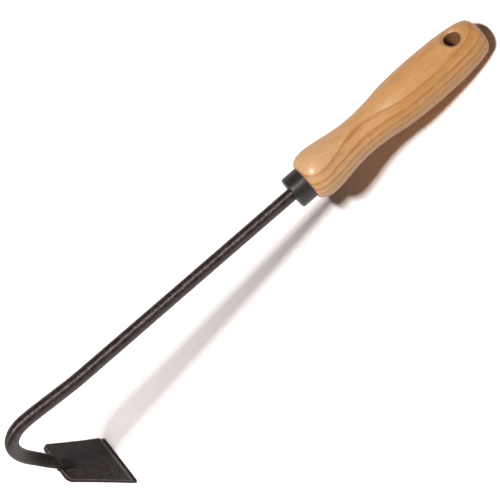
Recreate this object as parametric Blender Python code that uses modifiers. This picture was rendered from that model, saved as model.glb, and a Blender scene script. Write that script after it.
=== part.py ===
"""Hand draw hoe with a short turned handle.

A forged bar runs from a square tang inside the ash handle, through a steel
ferrule, out along a straight shank and round a swan neck. Its end is drawn
down to a flat tongue, and the hoe plate is welded to that tongue.

The pieces are modelled in the tool's own frame: the origin is the middle of
the ferrule's front face, +X runs back along the handle, -X runs ahead to the
neck, and -Z is the side that the blade drops to. One empty then tilts the tool
so that it rests on its cutting edge and on the butt of the handle.

Distances are in metres and angles in degrees.
"""

import math

import bmesh
import bpy
from mathutils import Vector

# Fits: the gap between two pieces that touch
SEAT_GAP = 0.0003

# Handle, turned from ash. Setbacks are measured from its shoulder at the ferrule,
# and places near the butt from the butt's end
HANDLE_LENGTH = 0.1432
SHOULDER_DIAMETER = 0.0226
FRONT_SWELL_DIAMETER = 0.0331
FRONT_SWELL_SETBACK = 0.0100
FRONT_FLANK_DIAMETER = 0.0309
FRONT_FLANK_SETBACK = 0.0210
WAIST_FRONT_DIAMETER = 0.0274
WAIST_FRONT_SETBACK = 0.0330
WAIST_DIAMETER = 0.0260
WAIST_SETBACK = 0.0455
WAIST_REAR_DIAMETER = 0.0279
WAIST_REAR_SETBACK = 0.0600
REAR_FLANK_DIAMETER = 0.0312
REAR_FLANK_SETBACK = 0.0720
REAR_SWELL_DIAMETER = 0.0331
REAR_SWELL_START = 0.0880
REAR_SWELL_FROM_BUTT = 0.0390
HEEL_DIAMETER = 0.0318
HEEL_FROM_BUTT = 0.0222
BUTT_FLANK_DIAMETER = 0.0288
BUTT_FLANK_FROM_BUTT = 0.0102
BUTT_DIAMETER = 0.0232
BUTT_ROUNDING = 0.0045
BUTT_FACE_DIAMETER = 0.0120
BUTT_DOME = 0.0006

# Hanging hole through the butt, drilled a little out of the neck's plane. Its
# countersunk rim follows the handle's round
HANGING_HOLE_DIAMETER = 0.0110
HANGING_HOLE_FROM_BUTT = 0.0180
HANGING_HOLE_TURN = 4.1
HANGING_HOLE_RIM_WIDTH = 0.0023
HANGING_HOLE_RIM_DEPTH = 0.0019
HANGING_HOLE_RIM_BULGE = 0.0003

# Ferrule, a pressed steel cap over the handle's tenon
FERRULE_DIAMETER = 0.0222
FERRULE_LENGTH = 0.0110
FERRULE_WALL = 0.0015
FERRULE_CORNER_RADIUS = 0.0014
FERRULE_REAR_CHAMFER = 0.0003

# Forged bar: tang, straight shank, neck. It gets a little stouter toward the bend
ROD_DIAMETER = 0.0085
NECK_DIAMETER = 0.0090
THICKENING_START = 0.0600
THICKENING_LENGTH = 0.1800
TANG_LENGTH = 0.0750
TANG_ROUND_LENGTH = 0.0130
TANG_SHOULDER_LENGTH = 0.0060
TANG_WIDTH = 0.0062
TANG_TIP_WIDTH = 0.0032
SHANK_LENGTH = 0.1704

# Swan neck, a chain of arcs. It first bows up, then turns down and back
BOW_RADIUS = 0.1280
BOW_TURN = 6.0
CREST_LENGTH = 0.0242
CROWN_RADIUS = 0.0706
CROWN_TURN = 7.6
BEND_RADIUS = 0.0171
BEND_TURN = 66.2
OPENING_RADIUS = 0.0261
OPENING_TURN = 22.1
EASING_RADIUS = 0.0450
EASING_TURN = 18.3
LEG_LENGTH = 0.0292
CRANK_RADIUS = 0.0300
CRANK_TURN = 11.2

# Tongue, the flat end of the bar that lies on the plate
TONGUE_LENGTH = 0.0094
TONGUE_LAP = 0.0124
TONGUE_ROOT_WIDTH = 0.0094
TONGUE_TIP_WIDTH = 0.0078
TONGUE_THICKNESS = 0.0034
TONGUE_EDGE_RADIUS = 0.0014
TONGUE_TIP_RADIUS = 0.0034
FLATTENING_LENGTH = 0.0115
PLATE_FROM_BAR_AXIS = 0.0026

# Blade, a plate that widens to its cutting edge
BLADE_LENGTH = 0.0600
BLADE_THICKNESS = 0.0026
BLADE_REAR_WIDTH = 0.0335
BLADE_EDGE_WIDTH = 0.0426
BLADE_SIDE_HOLLOW = 0.0003
BLADE_OFFSET = 0.0040
REAR_CORNER_RADIUS = 0.0045
EDGE_CORNER_RADIUS = 0.0022
GRIND_LENGTH = 0.0066
EDGE_LAND = 0.0004

# Weld beads
TONGUE_BEAD_LEG = 0.0013
HEEL_BEAD_RADIUS = 0.0009

# Fineness of round shapes
TURNING_STEPS = 48
BAR_CORNER_POINTS = 5
NECK_STEP_DEGREES = 6.0

HANDLE_SHOULDER = FERRULE_LENGTH + SEAT_GAP
HANDLE_END = HANDLE_SHOULDER + HANDLE_LENGTH
TENON_RADIUS = FERRULE_DIAMETER / 2 - FERRULE_WALL - SEAT_GAP
TENON_FRONT = FERRULE_WALL + SEAT_GAP
BLADE_TURN = (
    -BOW_TURN + CROWN_TURN + BEND_TURN + OPENING_TURN + EASING_TURN + CRANK_TURN
)


def clear_scene():
    for item in list(bpy.data.objects):
        bpy.data.objects.remove(item, do_unlink=True)


def new_collection(name):
    collection = bpy.data.collections.new(name)
    bpy.context.scene.collection.children.link(collection)
    return collection


def new_material(name, colour, roughness, metallic):
    material = bpy.data.materials.new(name)
    material.use_nodes = True
    shader = material.node_tree.nodes["Principled BSDF"]
    shader.inputs["Base Color"].default_value = (*colour, 1.0)
    shader.inputs["Roughness"].default_value = roughness
    shader.inputs["Metallic"].default_value = metallic
    material.diffuse_color = (*colour, 1.0)
    return material


def new_object(name, mesh, collection, parent):
    item = bpy.data.objects.new(name, mesh)
    item.parent = parent
    collection.objects.link(item)
    return item


def finish_part(item, material):
    """Gives a piece its material and smooth shading with crisp edges."""
    item.data.materials.append(material)
    item.data.shade_smooth()
    item.data.set_sharp_from_angle(angle=math.radians(35))


def make_cutter(item):
    item.hide_render = True
    item.display_type = "WIRE"


def cut(item, cutter):
    modifier = item.modifiers.new("cut_" + cutter.name, "BOOLEAN")
    modifier.operation = "DIFFERENCE"
    modifier.solver = "EXACT"
    modifier.object = cutter


def loft(name, rings, collection, parent):
    """A closed body through rings of equally many points, with a flat cap on each end."""
    mesh = bpy.data.meshes.new(name)
    shell = bmesh.new()
    rows = [[shell.verts.new(point) for point in ring] for ring in rings]
    for lower, upper in zip(rows, rows[1:]):
        for i in range(len(lower)):
            j = (i + 1) % len(lower)
            shell.faces.new((lower[i], lower[j], upper[j], upper[i]))
    shell.faces.new(reversed(rows[0]))
    shell.faces.new(rows[-1])
    bmesh.ops.recalc_face_normals(shell, faces=shell.faces)
    shell.to_mesh(mesh)
    shell.free()
    return new_object(name, mesh, collection, parent)


def turned(name, profile, closed, collection, parent):
    """A turned piece: (radius, height) points, down the outer side, swept round Z."""
    mesh = bpy.data.meshes.new(name)
    edges = [(i, i + 1) for i in range(len(profile) - 1)]
    if closed:
        edges.append((len(profile) - 1, 0))
    mesh.from_pydata([(r, 0.0, z) for r, z in profile], edges, [])
    item = new_object(name, mesh, collection, parent)
    sweep = item.modifiers.new("turning", "SCREW")
    sweep.steps = TURNING_STEPS
    sweep.render_steps = TURNING_STEPS
    sweep.use_merge_vertices = True
    sweep.merge_threshold = 0.00001
    sweep.use_smooth_shade = True
    return item


def arc_points(centre, radius, start, end, count):
    """Points on an arc from start to end degrees, as (x, y) pairs."""
    points = []
    for i in range(count + 1):
        angle = math.radians(start + (end - start) * i / count)
        points.append(
            (centre[0] + radius * math.cos(angle), centre[1] + radius * math.sin(angle))
        )
    return points


def smooth_through(stations, position):
    """The value at a position on a smooth curve through (position, value) stations."""
    last = len(stations) - 1

    def secant(i):
        (x0, y0), (x1, y1) = stations[i], stations[i + 1]
        return (y1 - y0) / (x1 - x0)

    def slope(i):
        if i == 0:
            return 0.0
        if i == last:
            return secant(last - 1)
        before = stations[i][0] - stations[i - 1][0]
        after = stations[i + 1][0] - stations[i][0]
        return (after * secant(i - 1) + before * secant(i)) / (before + after)

    i = 0
    while i < last - 1 and position > stations[i + 1][0]:
        i += 1
    (x0, y0), (x1, y1) = stations[i], stations[i + 1]
    span = x1 - x0
    f = min(max((position - x0) / span, 0.0), 1.0)
    return (
        y0 * (2 * f**3 - 3 * f**2 + 1)
        + y1 * (3 * f**2 - 2 * f**3)
        + slope(i) * span * (f**3 - 2 * f**2 + f)
        + slope(i + 1) * span * (f**3 - f**2)
    )


def handle_stations():
    """(setback, radius) of the turned body, from the front swell to the butt."""
    return (
        (FRONT_SWELL_SETBACK, FRONT_SWELL_DIAMETER / 2),
        (FRONT_FLANK_SETBACK, FRONT_FLANK_DIAMETER / 2),
        (WAIST_FRONT_SETBACK, WAIST_FRONT_DIAMETER / 2),
        (WAIST_SETBACK, WAIST_DIAMETER / 2),
        (WAIST_REAR_SETBACK, WAIST_REAR_DIAMETER / 2),
        (REAR_FLANK_SETBACK, REAR_FLANK_DIAMETER / 2),
        (REAR_SWELL_START, REAR_SWELL_DIAMETER / 2),
        (HANDLE_LENGTH - REAR_SWELL_FROM_BUTT, REAR_SWELL_DIAMETER / 2),
        (HANDLE_LENGTH - HEEL_FROM_BUTT, HEEL_DIAMETER / 2),
        (HANDLE_LENGTH - BUTT_FLANK_FROM_BUTT, BUTT_FLANK_DIAMETER / 2),
        (HANDLE_LENGTH, BUTT_DIAMETER / 2),
    )


def handle_radius(setback):
    """The handle's radius at a distance behind its shoulder."""
    if setback < FRONT_SWELL_SETBACK:
        f = 1 - setback / FRONT_SWELL_SETBACK
        rise = (FRONT_SWELL_DIAMETER - SHOULDER_DIAMETER) / 2
        return SHOULDER_DIAMETER / 2 + rise * math.sqrt(1 - f * f)
    radius = smooth_through(handle_stations(), setback)
    if setback > HANDLE_LENGTH - BUTT_ROUNDING:
        f = min(1 - (HANDLE_LENGTH - setback) / BUTT_ROUNDING, 1.0)
        face = BUTT_FACE_DIAMETER / 2
        radius = face + (radius - face) * math.sqrt(1 - f * f)
    return radius


def handle_setbacks():
    """Where the turned profile has its points, from the shoulder to the butt's face."""
    quarter = [i / 6 for i in range(7)]
    front = [FRONT_SWELL_SETBACK * (1 - math.cos(math.pi / 2 * q)) for q in quarter]
    body_end = HANDLE_LENGTH - BUTT_ROUNDING
    steps = 26
    body = [
        FRONT_SWELL_SETBACK + (body_end - FRONT_SWELL_SETBACK) * i / steps
        for i in range(1, steps)
    ]
    butt = [body_end + BUTT_ROUNDING * math.sin(math.pi / 2 * q) for q in quarter]
    return front + body + butt


def handle_profile():
    """(radius, place along the tool) down the handle's outer side, butt first."""
    profile = [(0.0, HANDLE_END + BUTT_DOME)]
    profile.append((BUTT_FACE_DIAMETER / 4, HANDLE_END + 0.75 * BUTT_DOME))
    for setback in reversed(handle_setbacks()):
        profile.append((handle_radius(setback), HANDLE_SHOULDER + setback))
    profile.append((TENON_RADIUS, HANDLE_SHOULDER))
    profile.append((TENON_RADIUS, TENON_FRONT))
    profile.append((0.0, TENON_FRONT))
    return profile


def make_handle(collection, cutters, tool):
    handle = turned("handle", handle_profile(), False, collection, tool)
    handle.rotation_euler = (0.0, math.pi / 2, 0.0)
    bore = loft("tang_bore", tang_rings(SEAT_GAP), cutters, tool)
    hole = loft("hanging_hole", hanging_hole_rings(), cutters, tool)
    hole.rotation_euler = (-math.radians(HANGING_HOLE_TURN), 0.0, 0.0)
    for cutter in (bore, hole):
        make_cutter(cutter)
        cut(handle, cutter)
    return handle


def hanging_hole_rings():
    """Rings of the hole's cutter from below to above, with a rim that follows the handle."""
    centre = HANDLE_END - HANGING_HOLE_FROM_BUTT
    bore = HANGING_HOLE_DIAMETER / 2
    width, depth = HANGING_HOLE_RIM_WIDTH, HANGING_HOLE_RIM_DEPTH
    levels = []
    for i in range(5):
        f = i / 4
        bulge = 4 * f * (1 - f) * HANGING_HOLE_RIM_BULGE
        levels.append((bore + width * f - 0.64 * bulge, -depth * (1 - f) + 0.77 * bulge))
    run_out = 0.2
    reach = levels[-1][0] + run_out * width
    levels.append((reach, run_out * depth))
    clear_of_handle = REAR_SWELL_DIAMETER / 2 + depth
    count = TURNING_STEPS * 2 // 3

    def ring(radius, above, side):
        points = []
        for i in range(count):
            turn = 2 * math.pi * i / count
            x = centre + radius * math.cos(turn)
            y = radius * math.sin(turn)
            height = clear_of_handle
            if above is not None:
                surface = handle_radius(x - HANDLE_SHOULDER)
                height = math.sqrt(surface**2 - y**2) + above
            points.append(Vector((x, y, side * height)))
        return points

    levels.append((reach, None))
    below = [ring(radius, above, -1) for radius, above in reversed(levels)]
    return below + [ring(radius, above, 1) for radius, above in levels]


def make_ferrule(collection, tool):
    outer = FERRULE_DIAMETER / 2
    inner = outer - FERRULE_WALL
    opening = ROD_DIAMETER / 2 + SEAT_GAP
    corner = FERRULE_CORNER_RADIUS
    chamfer = FERRULE_REAR_CHAMFER
    profile = [(outer - chamfer, FERRULE_LENGTH), (outer, FERRULE_LENGTH - chamfer)]
    profile += arc_points((outer - corner, corner), corner, 0, -90, 5)
    profile += [
        (opening, 0.0),
        (opening, FERRULE_WALL),
        (inner, FERRULE_WALL),
        (inner, FERRULE_LENGTH),
    ]
    ferrule = turned("ferrule", profile, True, collection, tool)
    ferrule.rotation_euler = (0.0, math.pi / 2, 0.0)
    return ferrule


def bar_section(half_width, outward, inward, corner):
    """(side, outward) points of a rounded rectangle. A circle is one with full corners."""
    points = []
    middle = (outward - inward) / 2
    half_height = (outward + inward) / 2
    corner = min(corner, half_width, half_height)
    for quarter in range(4):
        for i in range(BAR_CORNER_POINTS):
            angle = math.pi / 2 * (quarter + (i + 0.5) / BAR_CORNER_POINTS)
            across, up = math.cos(angle), math.sin(angle)
            points.append(
                (
                    math.copysign(half_width - corner, across) + corner * across,
                    middle + math.copysign(half_height - corner, up) + corner * up,
                )
            )
    return points


def bar_ring(ahead, drop, heading, section):
    """A section set square to the bar's centre line at a point of the tool's plane."""
    out_ahead, out_drop = math.sin(heading), -math.cos(heading)
    return [
        Vector((-(ahead + out_ahead * out), -side, -(drop + out_drop * out)))
        for side, out in section
    ]


def round_section(radius):
    return bar_section(radius, radius, radius, radius)


def tang_rings(grown):
    """The bar behind the ferrule's front, from the tip of its square tang, or the bore for it."""
    tip = TANG_TIP_WIDTH / 2 + grown
    root = TANG_WIDTH / 2 + grown
    corner = 0.12 * TANG_WIDTH + grown
    square_end = TANG_ROUND_LENGTH + TANG_SHOULDER_LENGTH
    rod = ROD_DIAMETER / 2 + grown
    stations = [
        (-TANG_LENGTH - grown, bar_section(tip, tip, tip, corner)),
        (-square_end, bar_section(root, root, root, corner)),
        (-TANG_ROUND_LENGTH, round_section(rod)),
    ]
    if grown:
        stations.append((0.0, round_section(rod)))
    return [bar_ring(ahead, 0.0, 0.0, section) for ahead, section in stations]


def neck_stretches():
    """(length, turn in radians, number of steps) of each stretch ahead of the ferrule."""
    arcs = (
        (BOW_RADIUS, -BOW_TURN),
        None,
        (CROWN_RADIUS, CROWN_TURN),
        (BEND_RADIUS, BEND_TURN),
        (OPENING_RADIUS, OPENING_TURN),
        (EASING_RADIUS, EASING_TURN),
    )
    stretches = [(SHANK_LENGTH, 0.0, 6)]
    for arc in arcs:
        if arc is None:
            stretches.append((CREST_LENGTH, 0.0, 3))
            continue
        radius, turn = arc
        steps = max(3, math.ceil(abs(turn) / NECK_STEP_DEGREES))
        stretches.append((radius * math.radians(abs(turn)), math.radians(turn), steps))
    leg_to_flattening = LEG_LENGTH - FLATTENING_LENGTH / 2
    stretches.append((leg_to_flattening, 0.0, 2))
    stretches.append((LEG_LENGTH - leg_to_flattening, 0.0, 4))
    crank = math.radians(CRANK_TURN)
    stretches.append((CRANK_RADIUS * crank, crank, 6))
    stretches.append((TONGUE_LENGTH - TONGUE_TIP_RADIUS, 0.0, 3))
    stretches.append((TONGUE_TIP_RADIUS, 0.0, 6))
    return stretches


def neck_line():
    """(distance, ahead, drop, heading) along the bar's centre line from the ferrule's front."""
    distance, ahead, drop, heading = 0.0, 0.0, 0.0, 0.0
    line = [(distance, ahead, drop, heading)]
    for length, turn, steps in neck_stretches():
        step, bend = length / steps, turn / steps
        chord = step if abs(bend) < 1e-9 else 2 * step / bend * math.sin(bend / 2)
        for _ in range(steps):
            middle = heading + bend / 2
            ahead += chord * math.cos(middle)
            drop += chord * math.sin(middle)
            heading += bend
            distance += step
            line.append((distance, ahead, drop, heading))
    return line


def ease(value, start, end):
    """0 before start, 1 after end and a smooth step between them."""
    f = min(max((value - start) / (end - start), 0.0), 1.0)
    return f * f * (3 - 2 * f)


def mix(a, b, f):
    return a + (b - a) * f


def tongue_half_width(to_tip):
    """Half the tongue's width at a distance back from its tip."""
    taper = min(to_tip / TONGUE_LAP, 1.0)
    half = mix(TONGUE_TIP_WIDTH, TONGUE_ROOT_WIDTH, taper) / 2
    inset = TONGUE_TIP_RADIUS - to_tip
    if inset > 0:
        chord = math.sqrt(max(TONGUE_TIP_RADIUS**2 - inset**2, 0.0))
        half -= TONGUE_TIP_RADIUS - chord
    return half


def neck_section(distance, length):
    """The bar's section: round, a little stouter in the neck, and flat on the plate."""
    to_tip = length - distance
    thickening = ease(distance, THICKENING_START, THICKENING_START + THICKENING_LENGTH)
    radius = mix(ROD_DIAMETER, NECK_DIAMETER, thickening) / 2
    flattened_at = TONGUE_LAP + SEAT_GAP
    flat = 1 - ease(to_tip, flattened_at, flattened_at + FLATTENING_LENGTH)
    outward = PLATE_FROM_BAR_AXIS - SEAT_GAP
    inward = TONGUE_THICKNESS - outward
    return bar_section(
        mix(radius, tongue_half_width(to_tip), flat),
        mix(radius, outward, flat),
        mix(radius, inward, flat),
        mix(radius, TONGUE_EDGE_RADIUS, flat),
    )


def make_shank(collection, tool):
    line = neck_line()
    length = line[-1][0]
    rings = tang_rings(0.0)
    for distance, ahead, drop, heading in line:
        rings.append(bar_ring(ahead, drop, heading, neck_section(distance, length)))
    return loft("shank", rings, collection, tool)


def plate_frame():
    """The plate's rear edge at its upper face: (ahead, drop) and the heading of the plate."""
    _, ahead, drop, heading = neck_line()[-1]
    ahead -= TONGUE_LAP * math.cos(heading)
    drop -= TONGUE_LAP * math.sin(heading)
    ahead += PLATE_FROM_BAR_AXIS * math.sin(heading)
    drop -= PLATE_FROM_BAR_AXIS * math.cos(heading)
    return ahead, drop, heading


def set_on_plate(item):
    """Puts a piece drawn in the plate's own frame (X down the plate, Z off its upper face)."""
    ahead, drop, heading = plate_frame()
    item.location = (-ahead, 0.0, -drop)
    item.rotation_euler = (0.0, math.pi - heading, 0.0)


def blade_half_width(along):
    """Half the plate's width, with its slightly hollow sides."""
    f = along / BLADE_LENGTH
    return mix(BLADE_REAR_WIDTH, BLADE_EDGE_WIDTH, f) / 2 - 4 * BLADE_SIDE_HOLLOW * f * (
        1 - f
    )


def blade_outline():
    """One side of the plate from its rear edge to its cutting edge, then the other side back."""
    rear, front = REAR_CORNER_RADIUS, EDGE_CORNER_RADIUS
    side = []
    for i in range(7):
        angle = math.pi / 2 * i / 6
        x = rear * (1 - math.cos(angle))
        side.append((x, blade_half_width(x) - rear * (1 - math.sin(angle))))
    for i in range(1, 8):
        x = mix(rear, BLADE_LENGTH - front, i / 8)
        side.append((x, blade_half_width(x)))
    for i in range(4):
        angle = math.pi / 2 * i / 3
        x = BLADE_LENGTH - front * (1 - math.sin(angle))
        side.append((x, blade_half_width(x) - front * (1 - math.cos(angle))))
    return side + [(x, -y) for x, y in reversed(side)]


def flat_curve(name, outline, thickness, collection, parent):
    """A flat outline as a filled 2D curve with a thickness."""
    curve = bpy.data.curves.new(name, "CURVE")
    curve.dimensions = "2D"
    curve.fill_mode = "BOTH"
    curve.extrude = thickness / 2
    spline = curve.splines.new("POLY")
    spline.points.add(len(outline) - 1)
    for point, (x, y) in zip(spline.points, outline):
        point.co = (x, y, 0.0, 1.0)
    spline.use_cyclic_u = True
    return new_object(name, curve, collection, parent)


def mesh_from_curve(curve, collection, parent):
    """Replaces a curve by a mesh of the same name, with its caps welded on."""
    name = curve.name
    bpy.context.view_layer.update()
    evaluated = curve.evaluated_get(bpy.context.evaluated_depsgraph_get())
    mesh = bpy.data.meshes.new_from_object(evaluated)
    shell = bmesh.new()
    shell.from_mesh(mesh)
    bmesh.ops.remove_doubles(shell, verts=shell.verts, dist=1e-6)
    bmesh.ops.recalc_face_normals(shell, faces=shell.faces)
    shell.to_mesh(mesh)
    shell.free()
    bpy.data.objects.remove(curve, do_unlink=True)
    item = new_object(name, mesh, collection, parent)
    mesh.name = name
    return item


def make_blade(collection, cutters, tool):
    outline = flat_curve("blade", blade_outline(), BLADE_THICKNESS, collection, tool)
    blade = mesh_from_curve(outline, collection, tool)
    for vertex in blade.data.vertices:
        vertex.co.y += BLADE_OFFSET
        vertex.co.z -= BLADE_THICKNESS / 2
    set_on_plate(blade)
    grind = loft("edge_grind", grind_rings(), cutters, tool)
    set_on_plate(grind)
    make_cutter(grind)
    cut(blade, grind)
    return blade


def grind_rings():
    """The wedge ground off the upper face, from one side past the plate to the other."""
    reach = BLADE_EDGE_WIDTH
    fall = BLADE_THICKNESS - EDGE_LAND
    slope = fall / GRIND_LENGTH
    start = BLADE_LENGTH - GRIND_LENGTH
    section = (
        (start - GRIND_LENGTH / 2, slope * GRIND_LENGTH / 2),
        (BLADE_LENGTH + GRIND_LENGTH / 2, -fall - slope * GRIND_LENGTH / 2),
        (BLADE_LENGTH + GRIND_LENGTH / 2, slope * GRIND_LENGTH / 2),
    )
    return [
        [Vector((x, BLADE_OFFSET + side * reach, z)) for x, z in section]
        for side in (-1, 1)
    ]


def tongue_bead_path():
    """(along, side, outward direction) round the tongue's end, in the plate's frame."""
    path = []
    clear = SEAT_GAP
    straight = TONGUE_LAP - TONGUE_TIP_RADIUS
    for i in range(4):
        along = mix(1.5 * TONGUE_BEAD_LEG, straight, i / 3)
        path.append((along, tongue_half_width(TONGUE_LAP - along) + clear, 90.0))
    centre = tongue_half_width(TONGUE_TIP_RADIUS) - TONGUE_TIP_RADIUS
    for angle in (67.5, 45.0, 22.5, 0.0):
        reach = TONGUE_TIP_RADIUS + clear
        path.append(
            (
                straight + reach * math.cos(math.radians(angle)),
                centre + reach * math.sin(math.radians(angle)),
                angle,
            )
        )
    return path + [(along, -side, -angle) for along, side, angle in reversed(path)]


def make_tongue_bead(collection, tool):
    """A fillet between the tongue's edge and the plate's face."""
    path = tongue_bead_path()
    leg = TONGUE_BEAD_LEG
    section = ((0.0, 0.0), (leg, 0.0), (0.62 * leg, 0.42 * leg), (0.30 * leg, 0.78 * leg), (0.0, leg))
    rings = []
    for i, (along, side, angle) in enumerate(path):
        size = 0.55 if i in (0, len(path) - 1) else 1.0
        out = Vector((math.cos(math.radians(angle)), math.sin(math.radians(angle)), 0.0))
        foot = Vector((along, side, SEAT_GAP))
        rings.append([foot + size * (x * out + Vector((0.0, 0.0, z))) for x, z in section])
    bead = loft("tongue_weld", rings, collection, tool)
    set_on_plate(bead)
    return bead


def make_heel_bead(collection, tool):
    """A bead in the corner between the bar's underside and the plate's rear edge."""
    radius = HEEL_BEAD_RADIUS
    along = -(SEAT_GAP + radius)
    under = bar_underside(-along) + SEAT_GAP + radius
    half = TONGUE_ROOT_WIDTH / 2 - TONGUE_EDGE_RADIUS
    rings = []
    for side, size in ((-1.0, 0.5), (-0.8, 1.0), (0.8, 1.0), (1.0, 0.5)):
        ring = []
        for i in range(12):
            angle = 2 * math.pi * i / 12
            ring.append(
                Vector(
                    (
                        along + size * radius * math.cos(angle),
                        side * half,
                        -under + size * radius * math.sin(angle),
                    )
                )
            )
        rings.append(ring)
    bead = loft("heel_weld", rings, collection, tool)
    set_on_plate(bead)
    return bead


def bar_underside(behind):
    """How far the bar's underside lies below the plate's upper face, behind the rear edge."""
    line = neck_line()
    length = line[-1][0]
    reach = 2 * HEEL_BEAD_RADIUS + SEAT_GAP
    lowest = 0.0
    for distance, _, _, _ in line:
        past = TONGUE_LAP - (length - distance)
        if -behind - reach <= past <= 0.0:
            section = neck_section(distance, length)
            lowest = max(lowest, max(out for _, out in section) - PLATE_FROM_BAR_AXIS)
    return lowest


def resting_tilt():
    """The tilt at which the cutting edge and the butt both touch the ground."""
    ahead, drop, heading = plate_frame()
    edge_points = []
    for depth in (BLADE_THICKNESS, BLADE_THICKNESS - EDGE_LAND):
        edge_points.append(
            (
                -(ahead + BLADE_LENGTH * math.cos(heading) + depth * math.sin(heading)),
                -(drop + BLADE_LENGTH * math.sin(heading) - depth * math.cos(heading)),
            )
        )
    contacts = [(place, -radius) for radius, place in handle_profile() if place > HANDLE_SHOULDER]
    tilts = []
    for edge_x, edge_z in edge_points:
        tilts.append(min(math.atan2(z - edge_z, x - edge_x) for x, z in contacts))
    return max(tilts)


def corners_in_world(items):
    graph = bpy.context.evaluated_depsgraph_get()
    points = []
    for item in items:
        evaluated = item.evaluated_get(graph)
        mesh = evaluated.to_mesh()
        points += [evaluated.matrix_world @ vertex.co for vertex in mesh.vertices]
        evaluated.to_mesh_clear()
    low = [min(point[axis] for point in points) for axis in range(3)]
    high = [max(point[axis] for point in points) for axis in range(3)]
    return low, high


def set_down(tool, items):
    """Tilts the tool to its resting pose, with the origin under the middle of its box."""
    tool.rotation_euler = (0.0, resting_tilt(), 0.0)
    bpy.context.view_layer.update()
    low, high = corners_in_world(items)
    tool.location = (-(low[0] + high[0]) / 2, -(low[1] + high[1]) / 2, -low[2])
    bpy.context.view_layer.update()


def main():
    clear_scene()
    parts = new_collection("garden_hoe")
    cutters = new_collection("cutters")
    tool = bpy.data.objects.new("tool_frame", None)
    parts.objects.link(tool)

    ash = new_material("lacquered_ash", (0.60, 0.34, 0.14), 0.38, 0.0)
    ferrule_steel = new_material("blackened_ferrule", (0.060, 0.062, 0.060), 0.42, 0.55)
    forged_steel = new_material("oiled_forged_steel", (0.050, 0.040, 0.038), 0.45, 0.45)

    handle = make_handle(parts, cutters, tool)
    ferrule = make_ferrule(parts, tool)
    shank = make_shank(parts, tool)
    blade = make_blade(parts, cutters, tool)
    tongue_bead = make_tongue_bead(parts, tool)
    heel_bead = make_heel_bead(parts, tool)

    finish_part(handle, ash)
    finish_part(ferrule, ferrule_steel)
    for item in (shank, blade, tongue_bead, heel_bead):
        finish_part(item, forged_steel)
    set_down(tool, (handle, ferrule, shank, blade, tongue_bead, heel_bead))


main()
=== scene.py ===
"""Looks for a short draw hoe: ash grip, steel ferrule, swan-neck bar and welded plate.

The pieces are drawn in the tool's own frame: the origin is the middle of the
ferrule's front face, +X runs back along the handle, -X runs ahead to the neck,
and -Z is the side that the blade drops to. One matrix then sets them where the
solid model rests. Sizes are in metres.
"""

import math

import bmesh
import bpy
from bpy.props import FloatProperty, FloatVectorProperty, PointerProperty
from mathutils import Matrix, Vector, noise


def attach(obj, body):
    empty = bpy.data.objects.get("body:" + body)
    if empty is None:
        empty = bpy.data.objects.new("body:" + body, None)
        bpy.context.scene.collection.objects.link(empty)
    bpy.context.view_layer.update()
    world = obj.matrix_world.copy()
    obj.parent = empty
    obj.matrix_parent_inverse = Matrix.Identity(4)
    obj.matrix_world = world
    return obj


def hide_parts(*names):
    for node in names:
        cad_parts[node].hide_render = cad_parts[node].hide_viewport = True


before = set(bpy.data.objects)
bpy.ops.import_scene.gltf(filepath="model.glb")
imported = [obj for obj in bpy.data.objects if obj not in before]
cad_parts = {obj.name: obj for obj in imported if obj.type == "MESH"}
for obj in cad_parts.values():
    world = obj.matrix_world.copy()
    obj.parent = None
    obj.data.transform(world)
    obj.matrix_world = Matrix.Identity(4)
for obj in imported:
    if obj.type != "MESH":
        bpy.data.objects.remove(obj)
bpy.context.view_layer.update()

bl_info = {
    "name": "Hand Draw Hoe",
    "version": (1, 0, 0),
    "blender": (4, 5, 0),
    "location": "3D View > Sidebar > Hoe",
    "description": "Builds the visible pieces of a short draw hoe round its solid model",
    "category": "Object",
}

BODY = "root"

# Where the tool rests in the model's frame
TOOL_TILT = math.radians(16.577760)
TOOL_PLACE = Vector((0.04290450, -0.0040000, 0.05517228))
TOOL_TO_WORLD = Matrix.Translation(TOOL_PLACE) @ Matrix.Rotation(TOOL_TILT, 4, "Y")

# Fineness of the meshes: counts, and steps along the bar
HANDLE_COLUMNS = 144
HANDLE_ROWS = 78
HANDLE_END_ROWS = 6
HANDLE_ROUNDING_ROWS = 10
BUTT_RINGS = (0.8, 0.6, 0.4, 0.2)
HOLE_WINDOW_COLUMNS = 16
HOLE_WINDOW_ROWS = 20
HOLE_WINDOW_STEPS = (0.22, 0.44, 0.64, 0.82)
HOLE_WALL_ROWS = 14
FERRULE_COLUMNS = 128
BAR_CORNER_POINTS = 12
BAR_TIP_RINGS = 12
NECK_STEP = math.radians(3.0)
STRAIGHT_STEP = 0.003
FINE_STEP = 0.0009
FINE_RUN = 0.013
PLATE_COLUMNS = 20
PLATE_ROWS = 30
WELD_ROWS = 26
HEEL_ROWS = 40
HEEL_POINTS = 24
SWEEP_COLUMNS = 96
SHARP_ANGLE = math.radians(35)

# How sharply an edge stands out where its wear starts, and where it is full (1/m)
WORN_FROM, WORN_FULL = 700.0, 2200.0

# Levels of the attribute "cut". On the handle it grows from the lacquered wood over
# the hanging hole's rim to its bore, whose darker colour is painted shade. On the plate
# it tells how bare the ground slope is, and a painted highlight makes it brightest along a line.
CUT_RIM, CUT_SHADED_BORE = 0.5, 1.0
CUT_SLOPE, CUT_PAINTED_HIGHLIGHT = 0.16, 1.0
PAINTED_HIGHLIGHT_BAND = (0.0010, 0.0018)

# The hanging hole: plain wood round its rim, (out, down) points that soften the rim's
# two edges, and rings between them as shares of its width
HOLE_MARGIN = 0.0020
RIM_OUTER_EDGE = ((0.00015, 0.0), (0.00004, 0.00001))
RIM_INNER_EDGE = ((0.00002, 0.00004), (0.0, 0.00015))
RIM_STEPS = (0.97, 0.90, 0.80, 0.68, 0.55, 0.42, 0.30, 0.19, 0.10, 0.03)

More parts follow.
